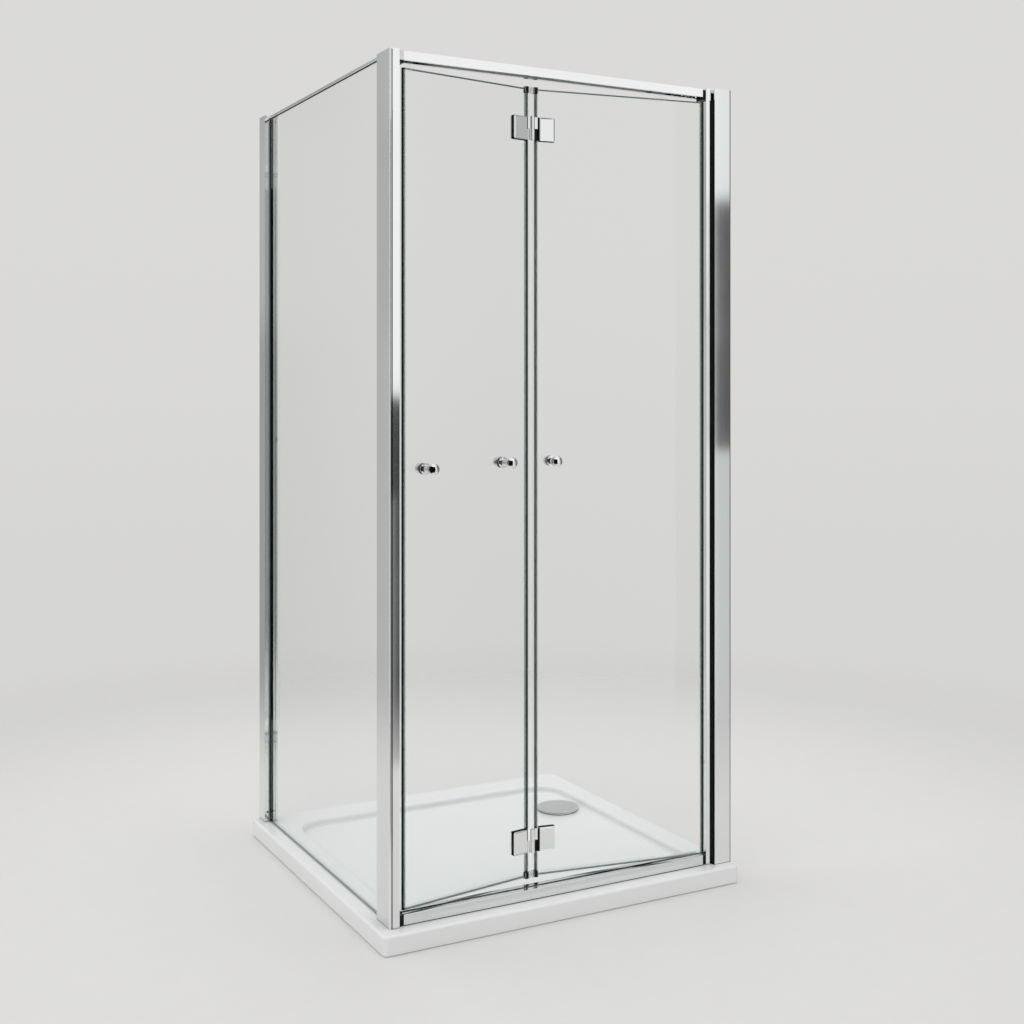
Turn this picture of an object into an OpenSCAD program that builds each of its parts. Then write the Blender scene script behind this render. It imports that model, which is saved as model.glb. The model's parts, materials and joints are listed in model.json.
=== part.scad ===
// Bifold shower enclosure: a square tray, a corner post, a fixed side panel, wall profiles
// and a door of two glass leaves that folds into the cabin.
// Origin: centre of the tray's underside. +X runs along the door to its hinged end,
// +Y runs into the cabin, +Z is up. Millimetres.
// Inside the modules x and y are counted from the tray's front left corner.

/* [Tray] */
// Width of the tray, along the door
tray_w = 900; // [880:1:1000]
// Depth of the tray, from the door to the back
tray_d = 900; // [800:1:1000]
// Height of the tray's rim above the floor
tray_h = 42; // [36:1:60]
// Radius of the tray's upright corners
tray_corner_r = 10; // [8:1:30]
// Radius of the rim's outer edge
tray_edge_r = 6; // [2:0.5:7]
// Width of the rim along the front, the left side and the back
rim_w = 78; // [74:1:100]
// Width of the rim along the right side
rim_right_w = 48; // [44:1:100]
// Depth of the basin below the rim
basin_depth = 20; // [14:1:24]
// Width of the basin's sloping wall
basin_slope_w = 22; // [18:1:40]
// Radius of the basin's corners
basin_corner_r = 88; // [60:1:120]
// Distance that the tray's foot stands back from its sides
foot_set = 4; // [2:0.5:6]
// Height of the tray's foot under its sides
foot_rise = 1.8; // [1:0.1:4]

/* [Waste] */
// Distance from the waste's axis to the tray's right side
waste_from_right = 128; // [126:1:300]
// Distance from the waste's axis to the tray's back
waste_from_back = 260; // [220:1:400]
// Diameter of the hole in the tray
waste_hole_d = 90; // [80:1:92]
// Diameter of the waste's flange
flange_d = 104; // [98:1:108]
// Thickness of the waste's flange
flange_t = 2; // [1.5:0.1:3]
// Thickness of the rubber ring under the flange
waste_seal_t = 1.5; // [1:0.1:3]
// Diameter of the outlet at the flange's foot
outlet_d = 72; // [60:1:74]
// Height of the outlet's narrow stretch
outlet_h = 9; // [6:0.5:12]
// Diameter of the round cover
cover_d = 112; // [106:1:116]
// Thickness of the cover's rim
cover_t = 3; // [2:0.1:5]
// Rise of the cover's domed top
cover_rise = 2.5; // [1:0.1:4]
// Gap between the flange and the cover
cover_gap = 2.5; // [1:0.1:5]

/* [Corner post] */
// Distance from the tray's left side to the post
post_from_left = 25.5; // [20:0.5:40]
// Distance from the tray's front to the post
post_from_front = 33; // [28:0.5:34]
// Width of the post's front face
post_w = 22.5; // [20:0.5:30]
// Depth of the post's side face
post_d = 70.5; // [64:0.5:90]
// Height of the post above the rim
post_h = 1835; // [1700:1:2000]
// Wall of the post
post_wall = 2; // [1.5:0.1:2.5]
// Radius of the post's outer corner
post_corner_r = 3; // [1:0.1:4]
// Distance of the shadow groove from the post's outer corner
groove_x = 3; // [3:0.1:8]
// Width of the shadow groove
groove_w = 4; // [1:0.1:6]
// Depth of the shadow groove
groove_depth = 1.6; // [0.6:0.1:2.5]
// Depth of the pocket that holds the side glass
post_pocket_depth = 18; // [14:0.5:24]
// Thickness of the cap on the post
cap_t = 2; // [1.5:0.1:4]

/* [Glass] */
// Thickness of all the glass
glass_t = 6; // [5:0.5:8]
// Thickness of the black gaskets on each side of the side glass
gasket_t = 3; // [2:0.1:4]
// Distance that the outer gasket shows outside the wall profile
gasket_nose = 2; // [1:0.5:8]
// Distance that the clear strip inside the side glass shows outside the wall profile
clear_lip = 19; // [8:0.5:30]
// Distance that the gaskets show outside the post
post_gasket_nose = 1.5; // [1:0.5:6]
// Free gap between the side glass and the ends of its pockets
pocket_end_gap = 2; // [1:0.5:5]
// Height of the trim along the top of the side glass
top_trim_h = 6; // [5:0.5:16]
// Height of the seal under the side glass
side_seal_h = 7; // [6:0.5:20]
// Wall of the trim and of the seal on the side glass
side_trim_wall = 1.5; // [1:0.1:2.5]

/* [Wall profiles] */
// Width of the channel behind the side glass
side_channel_w = 34; // [32:0.5:44]
// Depth of the channel behind the side glass
side_channel_d = 45; // [38:0.5:60]
// Width of the glass profile that slides in that channel
side_profile_w = 23; // [22:0.5:26]
// Depth of the glass profile
side_profile_d = 33; // [28:0.5:34]
// Distance from the channel's mouth to the glass profile
side_profile_set = 2; // [1:0.5:6]
// Distance from the channel's top down to the glass profile
side_profile_drop = 3; // [0:0.5:10]
// Wall of the glass profile's hollow arms
side_profile_wall = 1.4; // [1:0.1:1.8]
// Width of the channel beside the door
channel_w = 48.5; // [44:0.5:56]
// Depth of the channel beside the door
channel_d = 42; // [40:0.5:50]
// Distance from the tray's front to the channel beside the door
channel_from_front = 28.5; // [24:0.5:30]
// Wall of the channels
channel_wall = 2.5; // [2:0.1:3]
// Radius of the channel's outer corner
channel_corner_r = 5; // [1:0.5:8]
// Width of the jamb that shows beside the channel
jamb_reveal = 18.5; // [14:0.5:30]
// Distance that the jamb reaches into its channel
jamb_engagement = 32; // [24:0.5:40]
// Depth of the jamb
jamb_d = 28; // [24:0.5:30]
// Wall of the jamb
jamb_wall = 2; // [1.5:0.1:2.5]
// Diameter of the wall fixing holes
wall_hole_d = 5.5; // [4:0.1:7]
// Distance from the channels' ends to the outer wall fixings
wall_hole_end = 117.5; // [60:0.5:300]
// Distance from the jamb's ends to its outer screws
jamb_screw_end = 60; // [30:1:200]
// Height of the glass profile's screws above the rim
side_screw_rise = 25; // [12:1:60]

/* [Rails] */
// Distance from the tray's front to the rails
rail_from_front = 38; // [36:0.5:40]
// Depth of the rails
rail_d = 34; // [32:0.5:44]
// Height of the top rail
top_rail_h = 20; // [18:0.5:30]
// Height of the bottom rail
bottom_rail_h = 22.5; // [20:0.5:30]
// Wall of the rails
rail_wall = 2.5; // [2:0.1:3]
// Width of the top rail's front lip
top_lip_w = 1.5; // [1:0.1:4]
// Distance from the leaves' mid plane to the top rail's back lip
top_slot_back = 7.5; // [6.5:0.1:10]
// Width of the bottom rail's slot
bottom_slot_w = 9; // [9:0.1:12]
// Distance from the post's top down to the top rail
rail_top_drop = 1.5; // [0:0.1:6]
// Length of the blocks at the rails' left ends
left_block_w = 11.8; // [8:0.1:16]
// Length of the blocks at the rails' right ends
right_block_w = 9; // [6:0.1:16]
// Thickness of the sealing strip under the bottom rail
sill_seal_t = 1.5; // [1:0.1:3]
// Thickness of the plastic track in the top rail
track_wall = 1; // [0.8:0.1:1.5]

/* [Door] */
// Angle of each leaf to the closed door
rest_angle = 9; // [0:0.5:40]
// Distance from the rails' front face to the closed leaves' mid plane
leaf_plane = 16; // [15:0.5:17]
// Gap between the post and the closed door's glass
close_gap = 8.4; // [7:0.1:12]
// Gap between the jamb and the closed door's glass
jamb_gap = 8; // [6:0.1:12]
// Room between the post and the closing seal, for the strip on the post
strike_room = 4; // [3.4:0.1:5]
// Room between the jamb and the seal beside it
jamb_room = 3; // [2:0.1:4]
// Distance from the glass edge to the pivot
pivot_inset = 110; // [90:1:140]
// Distance from the closing edge to the guide pins
guide_inset = 18; // [16:0.5:40]
// Gap between the two leaves' glass at the fold
fold_gap = 16; // [14:0.5:20]
// Gap between the top rail and the leaves' glass
leaf_top_gap = 13; // [11:0.5:20]
// Gap between the bottom rail and the leaves' glass
leaf_foot_gap = 5; // [4:0.5:12]
// Running gap between the leaves and what they pass
leaf_clearance = 0.6; // [0.4:0.1:1.5]

/* [Leaf seals] */
// Wall of the leaf seals
seal_wall = 1.2; // [0.8:0.1:1.6]
// Distance that the seals grip on the glass
seal_grip = 8; // [6:0.5:12]
// Radius of the seals' soft noses
seal_nose_r = 1.8; // [1:0.1:2.5]
// Width of the corner caps on the glass
corner_grip = 8; // [6:0.5:12]
// Distance that the corner caps stand above the glass
corner_rise = 4; // [2:0.5:9]
// Distance that the corner caps overlap the glass
corner_lap = 10; // [3:0.5:16]
// Wall of the corner caps
corner_wall = 1.6; // [1.2:0.1:2]

/* [Hinges] */
// Distance from the glass mid plane to the fold axis
fold_offset = 10; // [9.5:0.5:12]
// Height of the hinges
hinge_h = 52; // [44:1:70]
// Distance from the fold axis to the hinge plate on the pivot leaf
pivot_plate_set = 18; // [14:0.5:24]
// Width of the hinge plate on the pivot leaf
pivot_plate_w = 36; // [30:0.5:42]
// Distance from the fold axis to the hinge plate on the sliding leaf
sliding_plate_set = 11.5; // [8:0.5:14]
// Width of the hinge plate on the sliding leaf
sliding_plate_w = 37; // [30:0.5:44]
// Thickness of the hinge plates
plate_t = 4.5; // [4:0.1:5]
// Thickness of the clamp plates behind the glass
clamp_t = 4; // [3:0.1:5]
// Thickness of the pads between the plates and the glass
pad_t = 0.5; // [0.3:0.1:1]
// Distance that the pads show round the plates
pad_lip = 0.8; // [0.2:0.1:2]
// Width of the buffer beside the hinge plate on the pivot leaf
buffer_w = 4.5; // [2:0.5:6]
// Depth of the bevel round the plates
plate_bevel = 1.2; // [0.6:0.1:1.8]
// Width of the bevel round the plates
plate_bevel_w = 2.6; // [1:0.1:4]
// Radius of the plates' corners
plate_corner_r = 3; // [1:0.5:5]
// Diameter of the hinge barrel
barrel_d = 10.3; // [9.5:0.1:11]
// Diameter of the hinge pin
hinge_pin_d = 5; // [4:0.1:6]
// Distance from the post's top down to the middle of the upper hinges
upper_hinge_drop = 125; // [100:1:300]
// Distance from the rim up to the middle of the lower hinges
lower_hinge_rise = 110; // [90:1:300]
// Distance between the two screws of a plate
screw_pitch = 26; // [20:1:32]
// Diameter of the hinge screws
screw_d = 3.2; // [2.5:0.1:4]

/* [Pivot and guides] */
// Diameter of the pivot pins
pivot_pin_d = 8; // [6:0.1:10]
// Diameter of the guide pins
guide_pin_d = 6; // [5:0.1:8]
// Width of the shoes that hold the pivot pins
pivot_shoe_w = 28; // [20:1:34]
// Width of the shoes that hold the guide pins
guide_shoe_w = 18; // [12:1:19]
// Wall of the shoes
shoe_wall = 2.5; // [2:0.1:3]
// Distance that the shoes grip on the glass
shoe_grip = 5; // [4:0.5:12]
// Height of the top shoes above the glass
shoe_base_t = 4; // [3:0.5:6]
// Free gap beyond the pivot pins' ends
pin_end_gap = 0.3; // [0.2:0.1:1]
// Length of the sliding guides
guide_len = 27; // [25:0.5:28]
// Width of the sliding guides
guide_w = 23; // [20:0.5:24]
// Length of the pivot blocks
pivot_block_w = 40; // [30:1:60]
// Solid end of the pivot blocks' bores
pivot_bore_end = 3; // [2:0.5:5]
// Running clearance of the pins, on the radius
running_gap = 0.05; // [0.02:0.01:0.1]
// Free gap around pieces that slide
slide_gap = 0.6; // [0.4:0.1:1]

/* [Knobs] */
// Diameter of the knobs' balls
ball_d = 26; // [22:0.5:27]
// Distance from the glass to the ball's centre
ball_reach = 33; // [28:0.5:40]
// Diameter of the knobs' feet and of the inside caps
knob_base_d = 25; // [20:0.5:26]
// Diameter of the knobs' necks
knob_neck_d = 17; // [10:0.5:18]
// Depth of the inside caps
knob_cap_h = 15; // [10:0.5:20]
// Thickness of the dark washers
washer_t = 1.2; // [0.8:0.1:2]
// Diameter of the knobs' studs
stud_d = 6; // [5:0.1:8]
// Height of the two knobs beside the fold
knob_z = 1004; // [800:1:1200]
// Height of the knob at the closing edge
closing_knob_z = 997; // [800:1:1200]
// Distance from the closing edge to the closing knob
closing_knob_inset = 55; // [40:1:100]
// Distance from the fold axis to the sliding leaf's knob
sliding_knob_inset = 78; // [76:1:100]
// Distance from the fold axis to the pivot leaf's knob
pivot_knob_inset = 48; // [36:1:50]

/* [Hidden] */
$fn = 48;
cut = 1;                       // how far cutters run past the faces that they open
silver = "#c9ccd0";
chrome = "#dfe2e6";
white = "#f4f5f5";
black = "#16191b";
clear = "#dbe6e3";
glass_tint = "#cfe0dc80";

// heights
enclosure_top = tray_h + post_h;
floor_z = tray_h - basin_depth;
top_rail_z1 = enclosure_top - rail_top_drop;
top_rail_z0 = top_rail_z1 - top_rail_h;
bottom_rail_z0 = tray_h + sill_seal_t;
bottom_rail_z1 = bottom_rail_z0 + bottom_rail_h;
leaf_z0 = bottom_rail_z1 + leaf_foot_gap;
leaf_z1 = top_rail_z0 - leaf_top_gap;

// plan of the frame
post_x1 = post_from_left + post_w;
post_y1 = post_from_front + post_d;
side_x = post_from_left + post_w / 2;
post_pocket_w = glass_t + 2 * gasket_t;
post_front_wall = post_wall + groove_depth;
chamber_d = post_d - post_pocket_depth - post_wall - post_front_wall;
port_r = 3.4;                  // the post's screw ports: outside, hole, and set in from a wall
port_hole_r = 1.9;
port_set = 3;
channel_x = tray_w - channel_w;
jamb_x = channel_x - jamb_reveal;
side_channel_y = tray_d - side_channel_d;
side_profile_y = side_channel_y + side_profile_set;
side_arm_w = (side_profile_w - post_pocket_w) / 2;
side_pocket_d = side_profile_d - side_profile_wall;
gasket_grip = 18;              // how far the strips beside the side glass reach into the profile
side_gasket_z1 = enclosure_top - rail_top_drop - top_trim_h;
profile_edge_r = 0.8;          // radius of the rails' and the jamb's long edges
thread_gap = 0.05;             // gap around a screw's thread, on the radius
head_gap = 0.1;                // gap around a countersunk screw's neck, on the radius
rail_x0 = post_x1 + left_block_w;
rail_x1 = jamb_x - right_block_w;
leaf_y = rail_from_front + leaf_plane;
jamb_y = rail_from_front;
stop_h = 6;                    // height of the stops under the top rail's ends
wall_hole_heights = [tray_h + wall_hole_end, tray_h + post_h / 2, enclosure_top - wall_hole_end];

// plan of the closed door: both arms of the fold have the same length, so the guides
// stay on the leaves' plane while the fold axis moves into the cabin
pivot_x = jamb_x - jamb_gap - pivot_inset;
closing_edge_x = post_x1 + close_gap;
guide_x = closing_edge_x + guide_inset;
half_span = (pivot_x - guide_x) / 2;
fold_x = pivot_x - half_span;
fold_y = leaf_y - fold_offset;
sliding_glass_x1 = fold_x - fold_gap / 2;
pivot_glass_x0 = fold_x + fold_gap / 2;
pivot_glass_x1 = jamb_x - jamb_gap;

// the open door's fold axis, after both leaves have turned by the rest angle
arm = sqrt(half_span * half_span + fold_offset * fold_offset);
arm_angle = rest_angle - asin(fold_offset / arm);
fold_rest_x = pivot_x - arm * cos(arm_angle);
fold_rest_y = leaf_y + arm * sin(arm_angle);
guide_rest_x = pivot_x - 2 * arm * cos(arm_angle);

// seals and corner caps of the leaves
fold_reach = fold_gap / 2 - leaf_clearance / 2;
closing_reach = close_gap - strike_room;
jamb_reach = jamb_gap - jamb_room;
foot_reach = leaf_foot_gap - leaf_clearance;
toggle_travel = 2 * (arm - half_span);
closing_strip_t = close_gap - closing_reach - leaf_clearance - toggle_travel;

// hinges, counted from the fold axis with the door closed
glass_front = fold_offset - glass_t / 2;
glass_back = fold_offset + glass_t / 2;
plate_y0 = glass_front - pad_t - plate_t;
clamp_y1 = glass_back + pad_t + clamp_t;
hinge_head_h = 2;              // height of the countersunk heads
hinge_heights = [tray_h + lower_hinge_rise, enclosure_top - upper_hinge_drop];

knob_bore_end = 4;             // solid end of the inside caps' bores

// waste
waste_x = tray_w - waste_from_right;
waste_y = tray_d - waste_from_back;
flange_z0 = floor_z + waste_seal_t;
flange_z1 = flange_z0 + flange_t;
collar_gap = 1;                // between the collar and the tray's hole, on the radius
collar_d = waste_hole_d - 2 * collar_gap;
collar_z0 = 3;                 // the collar's foot stands clear of the floor
seat_step = 4;                 // the cover's seat is wider than the outlet, on the radius
seat_d = outlet_d + 2 * seat_step;
step_z = collar_z0 + outlet_h;
cover_z0 = flange_z1 + cover_gap;

// ---------- placing ----------

// x and y counted from the tray's front left corner
module from_corner() {
    translate([-tray_w / 2, -tray_d / 2, 0]) children();
}

// the pivot leaf, drawn closed, turned about the pivot pins
module on_pivot_leaf() {
    from_corner()
        translate([pivot_x, leaf_y, 0])
            rotate(-rest_angle)
                translate([-pivot_x, -leaf_y, 0])
                    children();
}

// the sliding leaf, drawn closed, moved with the fold axis and turned about it
module on_sliding_leaf() {
    from_corner()
        translate([fold_rest_x, fold_rest_y, 0])
            rotate(rest_angle)
                translate([-fold_x, -fold_y, 0])
                    children();
}

// a section drawn in y and z, run along x from x0 to x1
module run_x(x0, x1) {
    translate([x0, 0, 0]) rotate([90, 0, 90]) linear_extrude(x1 - x0) children();
}

// a section drawn in x and y, run up from z0 to z1
module run_z(z0, z1) {
    translate([0, 0, z0]) linear_extrude(z1 - z0) children();
}

// a plan drawn in x and z, run into the cabin from y0 to y1
module run_y(y0, y1) {
    translate([0, y1, 0]) rotate([90, 0, 0]) linear_extrude(y1 - y0) children();
}

// ---------- shared shapes ----------

// a rectangle whose four corners share one radius
module rounded_rect(w, d, r) {
    translate([r, 0]) square([w - 2 * r, d]);
    translate([0, r]) square([w, d - 2 * r]);
    for (x = [r, w - r], y = [r, d - r])
        translate([x, y]) circle(r);
}

// a section swept round a rectangle with round corners: the section's x counts outward
// from the corners' centres, and the middle is filled by a block from z0 to z1
module swept_slab(w, d, r, z0, z1) {
    centres = [[w - r, d - r], [r, d - r], [r, r], [w - r, r]];
    translate([r, r, z0]) cube([w - 2 * r, d - 2 * r, z1 - z0]);
    for (i = [0 : 3])
        translate(centres[i]) rotate(90 * i) {
            rotate_extrude(angle = 90) children();
            rotate([90, 0, 0]) linear_extrude(i % 2 == 0 ? d - 2 * r : w - 2 * r) children();
        }
}

// ---------- tray ----------

// the rim's outer edge, above a foot that stands back
module tray_edge_section() {
    square([tray_corner_r - foot_set, foot_rise]);
    translate([0, foot_rise]) square([tray_corner_r, tray_h - tray_edge_r - foot_rise]);
    square([tray_corner_r - tray_edge_r, tray_h]);
    translate([tray_corner_r - tray_edge_r, tray_h - tray_edge_r]) intersection() {
        circle(tray_edge_r);
        square(tray_edge_r);
    }
}

// the hollow above the basin's floor, with a wall that bends over at its lip and out at
// its foot by two equal arcs
module basin_section() {
    wall_r = (pow(basin_depth, 2) + pow(basin_slope_w, 2)) / (4 * basin_depth);
    foot_x = basin_corner_r - basin_slope_w;
    mid_x = basin_corner_r - basin_slope_w / 2;
    top = basin_depth + cut;
    translate([0, floor_z]) difference() {
        square([basin_corner_r, top]);
        intersection() {
            translate([mid_x, 0]) square([basin_slope_w / 2, basin_depth]);
            union() {
                translate([basin_corner_r, basin_depth - wall_r]) circle(wall_r);
                translate([mid_x, 0]) square([basin_slope_w / 2, basin_depth - wall_r]);
            }
        }
        difference() {
            translate([foot_x, 0]) square([basin_slope_w / 2, basin_depth / 2]);
            translate([foot_x, wall_r]) circle(wall_r);
        }
    }
}

module shower_tray() {
    color(white) from_corner() difference() {
        swept_slab(tray_w, tray_d, tray_corner_r, 0, tray_h) tray_edge_section();
        translate([rim_w, rim_w, 0])
            swept_slab(tray_w - rim_w - rim_right_w, tray_d - 2 * rim_w, basin_corner_r,
                       floor_z, tray_h + cut)
                basin_section();
        translate([waste_x, waste_y, -cut]) cylinder(d = waste_hole_d, h = tray_h);
    }
}

// ---------- waste ----------

module waste_seal() {
    color(black) from_corner() translate([waste_x, waste_y, floor_z]) difference() {
        cylinder(d = flange_d, h = waste_seal_t);
        translate([0, 0, -cut]) cylinder(d = waste_hole_d, h = waste_seal_t + 2 * cut);
    }
}

// the flange with its collar: a narrow outlet below and a wider seat for the cover above
module waste_flange() {
    color(silver) from_corner() translate([waste_x, waste_y, 0]) rotate_extrude() {
        translate([outlet_d / 2, collar_z0]) square([(collar_d - outlet_d) / 2, outlet_h]);
        translate([seat_d / 2, step_z]) square([(collar_d - seat_d) / 2, flange_z1 - step_z]);
        translate([seat_d / 2, flange_z0]) square([(flange_d - seat_d) / 2, flange_t]);
    }
}

// the domed cover on three feet that stand in the flange's seat
module waste_cover() {
    dome_r = (pow(cover_d / 2, 2) + pow(cover_rise, 2)) / (2 * cover_rise);
    foot_d = 3.6;
    foot_gap = 0.1;
    foot_r = (seat_d - foot_d) / 2 - foot_gap;
    color(chrome) from_corner() translate([waste_x, waste_y, 0]) {
        rotate_extrude() {
            translate([0, cover_z0]) square([cover_d / 2, cover_t]);
            intersection() {
                translate([0, cover_z0 + cover_t]) square([cover_d / 2, cover_rise]);
                translate([0, cover_z0 + cover_t + cover_rise - dome_r]) circle(dome_r, $fn = 240);
            }
        }
        for (a = [30, 150, 270])
            rotate(a) translate([foot_r, 0, step_z]) cylinder(d = foot_d, h = cover_z0 - step_z);
    }
}

// ---------- corner post ----------

module post_outline() {
    difference() {
        square([post_w, post_d]);
        difference() {
            translate([-cut, -cut]) square([post_corner_r + cut, post_corner_r + cut]);
            translate([post_corner_r, post_corner_r]) circle(post_corner_r);
        }
    }
}

// the post's section: a front chamber with two screw ports, a web, and the glass pocket
module post_section() {
    port_x = post_w / 2;
    port_ys = [post_front_wall + port_set, post_front_wall + chamber_d - port_set];
    difference() {
        post_outline();
        difference() {
            translate([post_wall, post_front_wall]) square([post_w - 2 * post_wall, chamber_d]);
            for (y = port_ys) translate([port_x, y]) circle(port_r);
        }
        for (y = port_ys) translate([port_x, y]) circle(port_hole_r);
        translate([(post_w - post_pocket_w) / 2, post_d - post_pocket_depth])
            square([post_pocket_w, post_pocket_depth + cut]);
        translate([groove_x, -cut]) square([groove_w, cut + groove_depth]);
    }
}

module corner_post() {
    color(silver) from_corner() translate([post_from_left, post_from_front, 0])
        run_z(tray_h, enclosure_top - cap_t) post_section();
}

// the cap closes the post and plugs its chamber between the screw ports
module post_cap() {
    plug_gap = 0.3;
    plug_h = 8;
    port_reach = port_set + port_r + plug_gap;
    color(silver) from_corner() translate([post_from_left, post_from_front, 0]) {
        run_z(enclosure_top - cap_t, enclosure_top) post_outline();
        run_z(enclosure_top - cap_t - plug_h, enclosure_top - cap_t)
            translate([post_wall + plug_gap, post_front_wall + port_reach])
                square([post_w - 2 * (post_wall + plug_gap), chamber_d - 2 * port_reach]);
    }
}

// the strip on the post that the closing seal meets
module strike_strip() {
    strip_w = 16;
    edge_r = 0.5;
    color(black) from_corner()
        run_z(bottom_rail_z1, top_rail_z0 - stop_h)
            translate([post_x1, leaf_y - strip_w / 2])
                rounded_rect(closing_strip_t, strip_w, edge_r);
}

// ---------- side panel ----------

module side_glass() {
    y0 = post_y1 - post_pocket_depth + pocket_end_gap;
    y1 = side_profile_y + side_pocket_d - pocket_end_gap;
    color(glass_tint) from_corner()
        translate([side_x - glass_t / 2, y0, tray_h + side_trim_wall])
            cube([glass_t, y1 - y0, post_h - rail_top_drop - 2 * side_trim_wall]);
}

// an inverted channel pushed over the glass between the post and the wall profile
module side_top_trim() {
    w = glass_t + 2 * side_trim_wall;
    z1 = enclosure_top - rail_top_drop;
    color(silver) from_corner() run_y(post_y1, side_profile_y)
        translate([side_x - w / 2, 0]) difference() {
            translate([0, z1 - top_trim_h]) square([w, top_trim_h]);
            translate([side_trim_wall, z1 - top_trim_h - cut])
                square([glass_t, top_trim_h - side_trim_wall + cut]);
        }
}

// the clear seal of the side glass: the channel that the glass stands in, with a skirt on
// its outer side, and an upright strip held in the wall profile on the inner side
module side_bottom_seal() {
    w = glass_t + 2 * side_trim_wall;
    skirt_w = 2;
    skirt_h = 3;
    color(clear) from_corner() {
        run_y(post_y1 + post_gasket_nose, side_profile_y - gasket_nose)
            translate([side_x - w / 2, tray_h]) {
                difference() {
                    square([w, side_seal_h]);
                    translate([side_trim_wall, side_trim_wall]) square([glass_t, side_seal_h]);
                }
                translate([-skirt_w, 0]) square([skirt_w, skirt_h]);
            }
        run_z(tray_h, side_gasket_z1) translate([side_x + glass_t / 2, side_profile_y]) {
            translate([0, -clear_lip]) square([side_trim_wall, clear_lip]);
            square([gasket_t, gasket_grip]);
        }
    }
}

// gaskets on the side glass from y0 to y1; sides lists -1 for its outer face, 1 for its inner
module glass_gaskets(sides, y0, y1) {
    edge_r = 0.6;
    for (s = sides)
        translate([side_x + s * (glass_t + gasket_t) / 2 - gasket_t / 2, y0])
            rounded_rect(gasket_t, y1 - y0, edge_r);
}

module side_post_gasket() {
    color(black) from_corner() run_z(tray_h, side_gasket_z1)
        glass_gaskets([-1, 1], post_y1 - post_pocket_depth + pocket_end_gap, post_y1 + post_gasket_nose);
}

// ---------- wall profile of the side panel ----------

// the wall channel: a web against the wall, two sides and two lips at the mouth
module side_channel() {
    mouth_gap = 0.3;
    lip = (side_channel_w - side_profile_w) / 2 - mouth_gap;
    color(silver) from_corner() difference() {
        translate([side_x - side_channel_w / 2, side_channel_y, 0])
            run_z(tray_h, enclosure_top) difference() {
                square([side_channel_w, side_channel_d]);
                translate([channel_wall, channel_wall])
                    square([side_channel_w - 2 * channel_wall, side_channel_d - 2 * channel_wall]);
                translate([lip, -cut]) square([side_channel_w - 2 * lip, channel_wall + 2 * cut]);
            }
        for (z = wall_hole_heights)
            translate([side_x, tray_d - channel_wall - cut, z])
                rotate([-90, 0, 0]) cylinder(d = wall_hole_d, h = channel_wall + 2 * cut);
    }
}

// the glass profile in the channel: two hollow arms joined behind the glass
module side_profile() {
    hollow_w = side_arm_w - 2 * side_profile_wall;
    z1 = enclosure_top - side_profile_drop;
    color(silver) from_corner() difference() {
        translate([side_x - side_profile_w / 2, side_profile_y, 0]) run_z(tray_h, z1) difference() {
            square([side_profile_w, side_profile_d]);
            translate([side_arm_w, -cut]) square([post_pocket_w, side_pocket_d + cut]);
            for (x = [0, side_profile_w - side_arm_w])
                translate([x + side_profile_wall, side_profile_wall])
                    square([hollow_w, side_pocket_d - side_profile_wall]);
        }
        side_screw_places() cylinder(d = screw_d, h = 4 * cut, center = true);
    }
}

module side_profile_gasket() {
    color(black) from_corner() run_z(tray_h, side_gasket_z1)
        glass_gaskets([-1], side_profile_y - gasket_nose, side_profile_y + gasket_grip);
}

// the two screws near the glass profile's foot, one in each arm
module side_screw_places() {
    reach = (side_profile_w - side_arm_w) / 2;
    for (x = [side_x - reach, side_x + reach])
        translate([x, side_profile_y, tray_h + side_screw_rise]) rotate([90, 0, 0]) children();
}

module side_profile_screws() {
    head_d = 5;
    head_h = 1;
    color(black) from_corner() side_screw_places() {
        cylinder(d = head_d, h = head_h);
        translate([0, 0, -side_profile_wall])
            cylinder(d = screw_d - 2 * thread_gap, h = side_profile_wall);
    }
}

// ---------- wall profile of the door ----------

module wall_channel() {
    free_gap = 0.3;
    color(silver) from_corner() difference() {
        translate([channel_x, channel_from_front, 0]) run_z(tray_h, enclosure_top) difference() {
            square([channel_w, channel_d]);
            translate([-cut, channel_wall])
                square([channel_w - channel_wall + cut, channel_d - 2 * channel_wall]);
            difference() {
                translate([channel_w - channel_corner_r, -cut])
                    square([channel_corner_r + cut, channel_corner_r + cut]);
                translate([channel_w - channel_corner_r, channel_corner_r]) circle(channel_corner_r);
            }
        }
        for (z = wall_hole_heights)
            translate([tray_w - channel_wall - cut, channel_from_front + channel_d / 2, z])
                rotate([0, 90, 0]) cylinder(d = wall_hole_d, h = channel_wall + 2 * cut);
        jamb_screw_places() cylinder(d = screw_d + 2 * free_gap, h = 4 * channel_wall, center = true);
    }
}

// a box section with a middle web, in line with the rails
module jamb_profile() {
    w = jamb_reveal + jamb_engagement;
    color(silver) from_corner() difference() {
        translate([jamb_x, jamb_y, 0]) run_z(tray_h, enclosure_top) difference() {
            rounded_rect(w, jamb_d, profile_edge_r);
            translate([jamb_wall, jamb_wall])
                square([jamb_reveal - 1.5 * jamb_wall, jamb_d - 2 * jamb_wall]);
            translate([jamb_reveal + jamb_wall / 2, jamb_wall])
                square([jamb_engagement - 1.5 * jamb_wall, jamb_d - 2 * jamb_wall]);
        }
        jamb_screw_places() cylinder(d = screw_d, h = channel_d, center = true);
    }
}

// the black strip between the channel's front lip and the jamb
module jamb_gasket() {
    nose = 3;
    grip = 6.5;
    top_drop = 4.5;
    color(black) from_corner() run_z(tray_h, top_rail_z0 - top_drop)
        translate([channel_x - nose, channel_from_front + channel_wall])
            square([nose + grip, jamb_y - channel_from_front - channel_wall]);
}

// the screws that hold the jamb in its channel, from inside the cabin
module jamb_screw_places() {
    for (z = [tray_h + jamb_screw_end, tray_h + post_h / 2, enclosure_top - jamb_screw_end])
        translate([channel_x + jamb_engagement / 2, channel_from_front + channel_d, z])
            rotate([-90, 0, 0]) children();
}

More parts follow.
